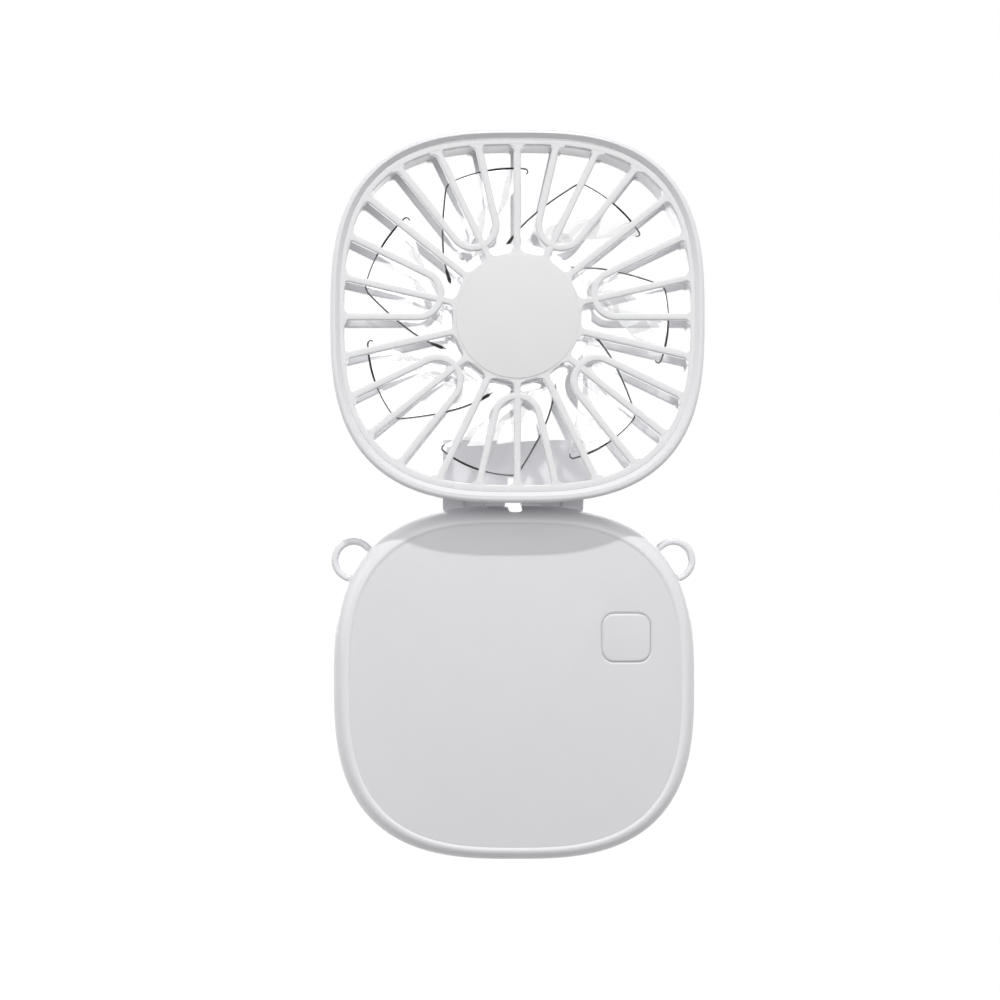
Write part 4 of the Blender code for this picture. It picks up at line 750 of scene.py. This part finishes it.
section += quarter(HUB_RADIUS, ring_front, -HUB_SOFT, HUB_SOFT, SOFT_STEPS)
section += [(seat_radius, ring_front), (seat_radius, front_y + seat_depth)]
grille_hub = turned("grille_hub", section, 0, head_z, HUB_STEPS, grille_abs)
ribs = grille_ribs("front", opening, GRILLE_RISE, RIB_WIDTH, front_y, back_y, grille_abs)
front_grille = join_pieces("grille_front", grille_ring, grille_hub, *ribs)
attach(front_grille, "head")
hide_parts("front_grille")

# Hub cover: a plain round cap of satin ABS pressed into the front grille's hub, with a fine round
# edge all the way round.

COVER_SOFT = 0.08 * MM
cover_low, cover_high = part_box("hub_cover")
cover_radius = (cover_high.x - cover_low.x) / 2

# The cap is blasted a little duller than the grille, so it shows one even, soft grey-white
cap_abs = moulded_plastic("satin_cap_abs", "E1E1E1", "DFDFDF", 0.42, 0.25, 0.003)

section = quarter(cover_radius, cover_low.y, -COVER_SOFT, COVER_SOFT, SOFT_STEPS)[::-1]
section.append((cover_radius, cover_high.y))
cover = turned("hub_cap", section, 0, head_z, HUB_STEPS, cap_abs)
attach(cover, "head")
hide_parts("hub_cover")

# Rear grille: the same ribs and arches in a ring that is glued into the housing's step, with the
# motor's cup and bearing tube on its hub and a solid pad for the hinge leaf below.

REAR_INSET = 1.05 * MM
REAR_OPENING = 1.7 * MM
REAR_RIB_WIDTH = 1.8 * MM
REAR_SOFT = 0.3 * MM
REAR_EDGE = 0.35 * MM
REAR_HUB_SOFT = 0.4 * MM
CUP_DEPTH = 4.8 * MM
CUP_WALL = 1.1 * MM
TUBE_DEPTH = 10 * MM
TUBE_OUTER = 3.35 * MM
TUBE_INNER = 2.65 * MM
PAD_STEPS = 24
SLOT_HALF = 1.7 * MM
SLOT_RISE = 6.9 * MM
SLOT_FLOOR = 0.9 * MM

cup_inner = HUB_RADIUS - CUP_WALL
edge = [(REAR_INSET, rear_plate_y)]
edge += quarter(REAR_INSET, head_back_y, REAR_EDGE, -REAR_EDGE, SOFT_STEPS)
edge += quarter(REAR_OPENING, head_back_y, -REAR_SOFT, -REAR_SOFT, SOFT_STEPS)[::-1]
edge += quarter(REAR_OPENING, rear_plate_y, -REAR_SOFT, REAR_SOFT, SOFT_STEPS)
rear_ring = lofted("rear_ring", head_rings(edge), white_abs, closed=True)
section = [(TUBE_INNER, head_back_y), (TUBE_INNER, head_back_y - TUBE_DEPTH)]
section += [(TUBE_OUTER, head_back_y - TUBE_DEPTH), (TUBE_OUTER, rear_plate_y)]
section += [(cup_inner, rear_plate_y), (cup_inner, rear_plate_y - CUP_DEPTH)]
section += [(HUB_RADIUS, rear_plate_y - CUP_DEPTH)]
section += quarter(HUB_RADIUS, head_back_y, -REAR_HUB_SOFT, -REAR_HUB_SOFT, SOFT_STEPS)
rear_hub = turned("rear_hub", section, 0, head_z, HUB_STEPS, white_abs, closed=True)
across, up = head_halves[0] - HEAD_WALL, head_halves[1] - HEAD_WALL
pad = [(LEAF_HALF, leaf_top_z), (-LEAF_HALF, leaf_top_z)]
for step in range(PAD_STEPS + 1):
    x = LEAF_HALF * (2 * step / PAD_STEPS - 1)
    share = (1 - (abs(x) / across) ** SQUIRCLE_POWER) ** (1 / SQUIRCLE_POWER)
    pad.append((x, head_z - up * share))
leaf_pad = prism("leaf_pad", pad, rear_plate_y - SLIGHT, head_back_y - 4 * SLIGHT, white_abs)
slot_left, slot_right = SLOT_SHIFT - SLOT_HALF, SLOT_SHIFT + SLOT_HALF
slot = rectangle(slot_left, slot_right, head_z - up + SLOT_FLOOR, axis_z + SLOT_RISE)
opening = tuple(half - REAR_OPENING for half in head_halves)
ribs = grille_ribs("rear", opening, 0, REAR_RIB_WIDTH, rear_plate_y, head_back_y, white_abs)
for crossed in (leaf_pad, ribs[0]):
    carve(crossed, prism("pad_slot", slot, rear_plate_y - OVERRUN, head_back_y + OVERRUN))
rear_grille = join_pieces("grille_rear", rear_ring, rear_hub, leaf_pad, *ribs)
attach(rear_grille, "head")
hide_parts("rear_grille")

# Hinge leaf: a block of white ABS screwed to the rear grille's pad, with four knuckles that turn
# on two steel pins. Its soft edges drop into the base's pocket when the fan is folded.

LEAF_BACK_Y = 5.6 * MM
LEAF_SOFT = 0.6 * MM
LEAF_FOOT = 3.8 * MM
LEAF_KNUCKLES = ((2.1 * MM, 7.1 * MM), (13.0 * MM, 18.1 * MM))
leaf_names = [f"leaf_screw_{number}" for number in range(1, 5)]
leaf_front_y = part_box("neck_leaf")[0].y

foot_z = axis_z + LEAF_FOOT
block = rectangle(-LEAF_HALF, LEAF_HALF, foot_z, leaf_top_z)
leaf = prism("hinge_leaf", block, leaf_front_y, LEAF_BACK_Y, white_abs)
bevel = leaf.modifiers.new("soft_edges", "BEVEL")
bevel.width = LEAF_SOFT
bevel.segments = 4
settle(leaf)
roots = [(leaf_front_y + LEAF_SOFT, foot_z), (leaf_front_y + LEAF_SOFT, foot_z + SUNK)]
roots.append((LEAF_BACK_Y - LEAF_SOFT, foot_z + SUNK))
carve(leaf, *knuckles("leaf_knuckle", LEAF_KNUCKLES, roots), operation="UNION")
leaf_places, leaf_screw_back = screw_places(*leaf_names)
barrel_foot_z, barrel_back_y = axis_z - BARREL_RADIUS, axis_y + BARREL_RADIUS
slot = rectangle(slot_left, slot_right, barrel_foot_z - OVERRUN, axis_z + SLOT_RISE)
carve(
    leaf,
    prism("leaf_slot", slot, leaf_front_y - OVERRUN, barrel_back_y + OVERRUN),
    pin_bore("leaf_bore"),
    *counterbores("leaf_seat", leaf_places, LEAF_BACK_Y),
)
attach(leaf, "head")
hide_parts("neck_leaf")

# Screws: zinc-plated steel pan heads with a cross recess, four in the back of the base and four
# in the hinge leaf, each sunk in its counterbore.

HEAD_RADIUS = 1.6 * MM
HEAD_ROUND = 0.8 * HEAD_RADIUS
HEAD_HEIGHT = 1.0 * MM
HEAD_CROWN = 0.35 * MM
CROWN_STEPS = 7
HEAD_STEPS = 36
SHANK_RADIUS = 0.8 * MM
CASE_SHANK = 13 * MM
LEAF_SHANK = 6.2 * MM
CROSS_HALF = 0.2 * MM
CROSS_REACH = 0.95 * MM
CROSS_DEPTH = 0.6 * MM


def plated_steel(name, colour, roughness, scratch):
    """Bright metal with the fine streaks of its forming. The scratch is their width in mm."""
    made, tree, place = start_material(name)
    drawn = add_node(tree, "ShaderNodeMapping", {"Vector": place, "Scale": (1, 0.15, 1)})["Vector"]
    inputs = {"Vector": drawn, "Scale": 1 / (scratch * MM), "Detail": 5.0}
    streaks = add_node(tree, "ShaderNodeTexNoise", inputs)["Fac"]
    inputs = {"Value": streaks, 1: 0.3, 2: 0.7, 3: roughness - 0.08, 4: roughness + 0.1}
    gloss = add_node(tree, "ShaderNodeMapRange", inputs)["Result"]
    inputs = {"Base Color": linear(colour), "Metallic": 1.0, "Roughness": gloss}
    return end_material(made, streaks, 0.004, inputs)


def copies_tree():
    """Sets a copy of one piece on every point, made real."""
    tree, given = start_tree("Copies on points", Piece="Object", Finish="Material")
    single = add_node(tree, "GeometryNodeObjectInfo", {"Object": given["Piece"]})["Geometry"]
    copied = add_node(
        tree, "GeometryNodeInstanceOnPoints", {"Points": given["Geometry"], "Instance": single}
    )["Instances"]
    return end_tree(tree, copied, given["Finish"])


def pan_head(length):
    """One screw, its head's face at the origin and its shank along -Y."""
    section = quarter(HEAD_RADIUS, 0, -HEAD_ROUND, -HEAD_CROWN, CROWN_STEPS)[::-1]
    section += [(HEAD_RADIUS, -HEAD_HEIGHT), (SHANK_RADIUS, -HEAD_HEIGHT), (SHANK_RADIUS, -length)]
    arms = [
        prism("arm", rectangle(-across, across, -up, up), -CROSS_DEPTH, OVERRUN)
        for across, up in ((CROSS_HALF, CROSS_REACH), (CROSS_REACH, CROSS_HALF))
    ]
    return carve(turned("pan_head", section, 0, 0, HEAD_STEPS), *arms)


def screw_set(name, places, back_y, length, body, *replaced):
    """A set of like screws as one mesh."""
    single = pan_head(length)
    spots = line_object(name, [[(x, back_y, z)] for x, z in places])
    screws = grow(spots, copies, Piece=single, Finish=zinc_steel)
    bpy.data.objects.remove(single)
    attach(screws, body)
    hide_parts(*replaced)


# Zinc plating over steel: bright and slightly grey, with faint streaks
zinc_steel = plated_steel("zinc_plated_steel", "C9CACC", 0.28, 0.12)

copies = copies_tree()
screw_set("case_screws", case_places, case_screw_back, CASE_SHANK, "base", *case_names)
screw_set("leaf_screws", leaf_places, leaf_screw_back, LEAF_SHANK, "head", *leaf_names)

# Impeller: one moulding in clear polycarbonate, a cup over the motor's can with seven swept and
# twisted blades. A thin dark bead runs along each blade's rear edge and tip and curls at the end;
# it is painted shade, for the dark outline that refraction draws on the clear edges.

BLADES = 7
CUP_RADIUS = 18.4 * MM
CUP_INNER = 17.2 * MM
CUP_BORE = 1.3 * MM
CUP_FACE = 1.0 * MM
CUP_SOFT = 0.5 * MM
CUP_STEPS = 140
COLLAR = (13.9 * MM, 14.8 * MM, 6 * MM)
TIP_RADIUS = 38.7 * MM
TIP_FALL = 1.5 * MM
REAR_TURNS = (151.0, -49.5, 15.0)
FRONT_TURNS = (118.5, -52.0, 18.5)
ROOT_SUNK = 0.5 * MM
ROOT_THICK = 1.0 * MM
TIP_THICK = 0.6 * MM
TIP_DEPTH = 6.6 * MM
CAMBER = 1.2 * MM
BLADE_INSET = 0.4 * MM
EDGE_SHARE = 0.12
EDGE_SLOPE = 3
SPAN_STEPS = 26
CHORD_STEPS = 18
BEAD_SIDES = 8
impeller_low, impeller_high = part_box("impeller")
fan_front_y, fan_back_y = impeller_low.y, impeller_high.y


def blade_point(along, across):
    """Middle of a blade: along runs from root to tip, and across from rear edge to front edge."""
    root = CUP_RADIUS - ROOT_SUNK
    radius = root + (TIP_RADIUS - TIP_FALL * across**2 - root) * along
    rear, front = (a + b * along + c * along**2 for a, b, c in (REAR_TURNS, FRONT_TURNS))
    angle = math.radians(rear + (front - rear) * across)
    root_depth = fan_back_y - fan_front_y - 2 * BLADE_INSET - ROOT_THICK
    depth = root_depth + (TIP_DEPTH - root_depth) * along
    y = (fan_front_y + fan_back_y) / 2 + depth * (0.5 - across)
    y += CAMBER * math.sin(math.pi * across)
    return Vector((radius * math.cos(angle), y, radius * math.sin(angle)))


def blade_normal(along, across):
    little = 1e-3
    out = blade_point(along + little, across) - blade_point(along - little, across)
    back = blade_point(along, across + little) - blade_point(along, across - little)
    return out.cross(back).normalized()


def bead_path():
    """The bead's course on a blade, as (along, across, radius): rear edge, tip and a short hook."""
    path = [(0.03, 0, 0.12), (0.12, 0, 0.26)]
    path += [(0.2 + 0.74 * step / 20, 0, 0.26 - 0.04 * step / 20) for step in range(21)]
    for step in range(1, 7):
        turn = math.pi / 2 * step / 6
        path.append((0.94 + 0.06 * math.sin(turn), 0.06 * (1 - math.cos(turn)), 0.22))
    for step in range(1, 21):
        share = step / 20
        path.append((1, 0.06 + 0.88 * share, 0.17 + 0.05 * share))
    for step in range(1, 9):
        turn = math.pi * 0.6 * step / 8
        along, across = 0.95 + 0.05 * math.cos(turn), 0.94 + 0.06 * math.sin(turn)
        path.append((along, across, 0.24 - 0.012 * step))
    return path


def bead_on_blade(name, path, finish):
    """A round bead along a course on the blade, closed at both ends. Its radii are in mm."""
    middles = [blade_point(along, across) for along, across, _ in path]
    turns = [math.tau * side / BEAD_SIDES for side in range(BEAD_SIDES)]
    rings = []
    for count, middle in enumerate(middles):
        ahead = middles[min(count + 1, len(middles) - 1)] - middles[max(count - 1, 0)]
        beside = ahead.cross(Vector((0, 1, 0))).normalized()
        above = beside.cross(ahead).normalized()
        radius = path[count][2] * MM
        rings.append(
            [middle + radius * (beside * math.cos(t) + above * math.sin(t)) for t in turns]
        )
    return skinned(name, rings, finish)


def blade():
    """One clear blade about the fan's axis, thinned towards its edges."""
    bm = bmesh.new()
    front, back = {}, {}
    for sheet, face in ((front, -1), (back, 1)):
        for i in range(SPAN_STEPS + 1):
            along = i / SPAN_STEPS
            thick = ROOT_THICK + (TIP_THICK - ROOT_THICK) * along
            for j in range(CHORD_STEPS + 1):
                across = j / CHORD_STEPS
                slim = min(1, EDGE_SHARE + EDGE_SLOPE * min(across, 1 - across))
                offset = blade_normal(along, across) * (face * thick * slim / 2)
                sheet[i, j] = bm.verts.new(blade_point(along, across) + offset)
        for i in range(SPAN_STEPS):
            for j in range(CHORD_STEPS):
                corners = (i, j), (i, j + 1), (i + 1, j + 1), (i + 1, j)
                bm.faces.new([sheet[corner] for corner in corners])
    border = [(i, 0) for i in range(SPAN_STEPS)]
    border += [(SPAN_STEPS, j) for j in range(CHORD_STEPS)]
    border += [(i, CHORD_STEPS) for i in range(SPAN_STEPS, 0, -1)]
    border += [(0, j) for j in range(CHORD_STEPS, 0, -1)]
    for near, far in zip(border, border[1:] + border[:1]):
        bm.faces.new((front[near], front[far], back[far], back[near]))
    return shape("blade", bm, clear_pc)


def turned_copies_tree():
    """Repeats a piece evenly about the fan's axle, made real."""
    tree, given = start_tree("Turned copies", Count="Int", Place="Vector", Finish="Material")
    points = add_node(tree, "GeometryNodePoints", {"Count": given["Count"]})[0]
    index = add_node(tree, "GeometryNodeInputIndex", {})[0]
    pitch = add_node(
        tree, "ShaderNodeMath", {0: math.tau, 1: given["Count"]}, operation="DIVIDE"
    )[0]
    turn = add_node(tree, "ShaderNodeMath", {0: index, 1: pitch}, operation="MULTIPLY")[0]
    about = add_node(tree, "ShaderNodeCombineXYZ", {"Y": turn})["Vector"]
    inputs = {"Points": points, "Instance": given["Geometry"], "Rotation": about}
    copied = add_node(tree, "GeometryNodeInstanceOnPoints", inputs)["Instances"]
    inputs = {"Geometry": copied, "Translation": given["Place"]}
    placed = add_node(tree, "GeometryNodeTransform", inputs)["Geometry"]
    return end_tree(tree, placed, given["Finish"])


def clear_plastic(name, colour, roughness, wave, cover):
    """Clear moulded plastic with the slow waves of its flow. The wave is in millimetres.

    The cover is the share of light that bends or mirrors. The rest passes straight, as in a film.
    """
    made, tree, place = start_material(name)
    flow = add_node(
        tree, "ShaderNodeTexNoise", {"Vector": place, "Scale": 1 / (wave * MM), "Detail": 2.0}
    )["Fac"]
    inputs = {"Base Color": linear(colour), "Transmission Weight": 1.0, "Roughness": roughness}
    return end_material(made, flow, 0.006, {**inputs, "IOR": 1.585, "Alpha": cover})


# Polished clear polycarbonate: all but unseen against white, with faint waves from the mould
clear_pc = clear_plastic("clear_polycarbonate", "FEFEFF", 0.0, 7, 0.3)
# Painted shade: the bead is a thin grey line, uneven along its run, for the dark outline that
# refraction draws along the clear blades' edges
edge_shade_paint = moulded_plastic("painted_edge_shade_bead", "6A6B6E", "45464A", 0.3, 1.5, 0.002)
# Painted shade: at the blade's root and on its tip the bead is thickest and nearly black, for the
# darkest marks that refraction makes there
root_shade_paint = moulded_plastic("painted_root_shade_bead", "1E1F21", "141416", 0.3, 1.5, 0.002)

turned_copies = turned_copies_tree()
root_path = [(0.06, 0, 0.25), (0.08, 0, 0.45), (0.17, 0, 0.42), (0.19, 0, 0.3)]
tip_path = []
for step in range(13):
    swell = math.sin(math.pi * step / 12)
    tip_path.append((1, 0.42 + 0.46 * step / 12, 0.22 + 0.07 * swell))
pieces = []
# Each clear blade is copied with its beads of painted shade along the edges
for single, finish in (
    (blade(), clear_pc),
    (bead_on_blade("blade_bead", bead_path(), edge_shade_paint), edge_shade_paint),
    (bead_on_blade("blade_root", root_path, root_shade_paint), root_shade_paint),
    (bead_on_blade("blade_tip", tip_path, root_shade_paint), root_shade_paint),
):
    place = (0, 0, head_z)
    pieces.append(grow(single, turned_copies, Count=BLADES, Place=place, Finish=finish))
inner, outer, depth = COLLAR
face_y = fan_front_y + CUP_FACE
section = [(CUP_BORE, fan_front_y), (CUP_BORE, face_y), (inner, face_y), (inner, face_y + depth)]
section += [(outer, face_y + depth), (outer, face_y), (CUP_INNER, face_y)]
section += [(CUP_INNER, fan_back_y), (CUP_RADIUS, fan_back_y)]
section += quarter(CUP_RADIUS, fan_front_y, -CUP_SOFT, CUP_SOFT, SOFT_STEPS)
cup = turned("impeller_cup", section, 0, head_z, CUP_STEPS, clear_pc, closed=True)
impeller = join_pieces("clear_impeller", *pieces, cup)
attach(impeller, "fan")
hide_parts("impeller")

# Motor, hinge pins, bearings, charging socket, board and cell: bought-in parts, whose CAD solids
# already have their shape. Each takes the finish that its maker gives it.


def banded(name, colour, shade, roughness, pitch, axis):
    """Metal in fine bands, such as laminations or the turns of a coil. The pitch is in mm."""
    made, tree, place = start_material(name)
    inputs = {"Vector": place, "Scale": math.pi / (10 * pitch * MM), "Distortion": 0.4}
    inputs["Detail"] = 1.0
    bands = add_node(tree, "ShaderNodeTexWave", inputs, bands_direction=axis)["Fac"]
    tint = add_node(
        tree, "ShaderNodeMix", {0: bands, 6: linear(colour), 7: linear(shade)}, data_type="RGBA"
    )[2]
    inputs = {"Base Color": tint, "Roughness": roughness, "Metallic": 1.0}
    return end_material(made, bands, 0.06, inputs)


# Ground bearing steel: darker and glossier than the plated parts
ground_steel = plated_steel("ground_bearing_steel", "B9BABD", 0.18, 0.08)
# Laminated core steel, blued sheets 0.35 mm thick
core_steel = banded("laminated_core_steel", "8C8E93", "55575C", 0.4, 0.35, "Y")
# Enamelled copper wire, drawn at 0.3 mm so that the turns show
coil_copper = banded("enamelled_copper_wire", "C2703A", "7A3B1B", 0.3, 0.3, "X")
# Sintered ferrite: a dull charcoal with a coarse bloom
ferrite = moulded_plastic("sintered_ferrite", "3A3B3E", "2C2D30", 0.62, 0.3, 0.01)
# Solder mask over glass epoxy: a deep green with a soft gloss over the weave
solder_mask = moulded_plastic("green_solder_mask", "1F6B3C", "195932", 0.38, 0.7, 0.008)
# Glass-filled nylon, moulded black: a fine dull grain
black_nylon = moulded_plastic("black_nylon", "26272A", "1D1E20", 0.5, 0.3, 0.006)
# Silicone insulation in red: slightly soft and waxy
red_silicone = moulded_plastic("red_silicone", "B3231F", "9A1B18", 0.5, 0.4, 0.004)
# Heat-sealed film over the cell: a blue-grey skin with shallow wrinkles
cell_film = moulded_plastic("cell_wrap_film", "8A97A6", "7C8998", 0.34, 3.0, 0.12)

for finish, *names in (
    (zinc_steel, "rotor_can", "hinge_pin_left", "hinge_pin_right", "usb_socket"),
    (zinc_steel, "friction_washer_left", "friction_washer_right", "board_screw_1", "board_screw_2"),
    (ground_steel, "motor_shaft", "bearing_front", "bearing_rear"),
    (ferrite, "magnet_ring"),
    (core_steel, "stator_core"),
    (coil_copper, "winding_front", "winding_rear"),
    (solder_mask, "motor_board", "control_board"),
    (black_nylon, "switch_body", "switch_plunger", "battery_lead_black"),
    (red_silicone, "battery_lead_red"),
    (cell_film, "battery_pack"),
):
    for name in names:
        nodes[name].data.materials.clear()
        nodes[name].data.materials.append(finish)

# Studio: the fan hangs by its loops in front of white, over a pale floor. A small lamp stands high
# in front and a little to the right, a broad one is straight in front, and four soft fills, which
# cast no shadow, stand for the light that a white room throws back.

FLOOR_Z = -0.2
FLOOR_HALF = 4.0
SURROUND = 0.38
GLOW = 1.13
GLOW_SHARE = 0.86
VIEW_PLACE = (-0.0214, -0.395, 0.0154)
VIEW_LENS = 55.4
VIEW_SHIFT = 0.07


def seen_directly(tree):
    """1 for what is seen straight, mirrored or through clear parts, and 0 for all other rays."""
    light = add_node(tree, "ShaderNodeLightPath", {})
    seen = light["Is Camera Ray"]
    for name in ("Is Glossy Ray", "Is Transmission Ray"):
        inputs = {0: seen, 1: light[name]}
        seen = add_node(tree, "ShaderNodeMath", inputs, operation="ADD", use_clamp=True)[0]
    inputs = {0: light["Diffuse Depth"], 1: 0.5}
    straight = add_node(tree, "ShaderNodeMath", inputs, operation="LESS_THAN")[0]
    return add_node(tree, "ShaderNodeMath", {0: seen, 1: straight}, operation="MULTIPLY")[0]


world = bpy.data.worlds.new("white_surround")
bpy.context.scene.world = world
world.use_nodes = True
tree = world.node_tree
level = add_node(
    tree, "ShaderNodeMapRange", {"Value": seen_directly(tree), 3: SURROUND, 4: 1.0}
)["Result"]
feed(tree, tree.nodes["Background"], {"Color": (1, 1, 1, 1), "Strength": level})

# Painted board: a pale floor that reads as white where it is seen, and keeps a trace of shadow
board_paint = bpy.data.materials.new("pale_painted_board")
board_paint.use_nodes = True
tree = board_paint.node_tree
shader = tree.nodes["Principled BSDF"]
feed(tree, shader, {"Base Color": linear("8C8C8C"), "Roughness": 0.9})
glow = add_node(tree, "ShaderNodeEmission", {"Strength": GLOW})["Emission"]
share = add_node(
    tree, "ShaderNodeMath", {0: seen_directly(tree), 1: GLOW_SHARE}, operation="MULTIPLY"
)[0]
mixed = add_node(tree, "ShaderNodeMixShader", {0: share, 1: shader.outputs["BSDF"], 2: glow})
feed(tree, tree.nodes["Material Output"], {"Surface": mixed["Shader"]})
bm = bmesh.new()
corners = rectangle(-FLOOR_HALF, FLOOR_HALF, -FLOOR_HALF, FLOOR_HALF)
bm.faces.new([bm.verts.new((x, y, FLOOR_Z)) for x, y in corners])
floor = mesh_object("floor", bm, [board_paint])

for name, rise, side, strength, spread, casts in (
    ("key_lamp", 56, 9, 1.5, 2, True),
    ("soft_lamp", 20, 0, 0.56, 60, True),
    ("front_fill", 20, 0, 0.58, 60, False),
    ("right_fill", 5, 90, 0.3, 60, False),
    ("left_fill", 5, -90, 0.85, 60, False),
    ("back_fill", 5, 180, 1.4, 60, False),
):
    lamp = bpy.data.lights.new(name, "SUN")
    lamp.energy = strength
    lamp.angle = math.radians(spread)
    lamp.use_shadow = casts
    holder = add_object(name, lamp)
    holder.rotation_euler = (math.radians(90 - rise), 0, math.radians(side))

view = bpy.data.cameras.new("front_view")
view.lens = VIEW_LENS
view.shift_x = VIEW_SHIFT
camera = add_object("front_view", view)
camera.location = VIEW_PLACE
camera.rotation_euler = (math.pi / 2, 0, 0)
bpy.context.scene.camera = camera
bpy.context.scene.view_settings.view_transform = "Standard"
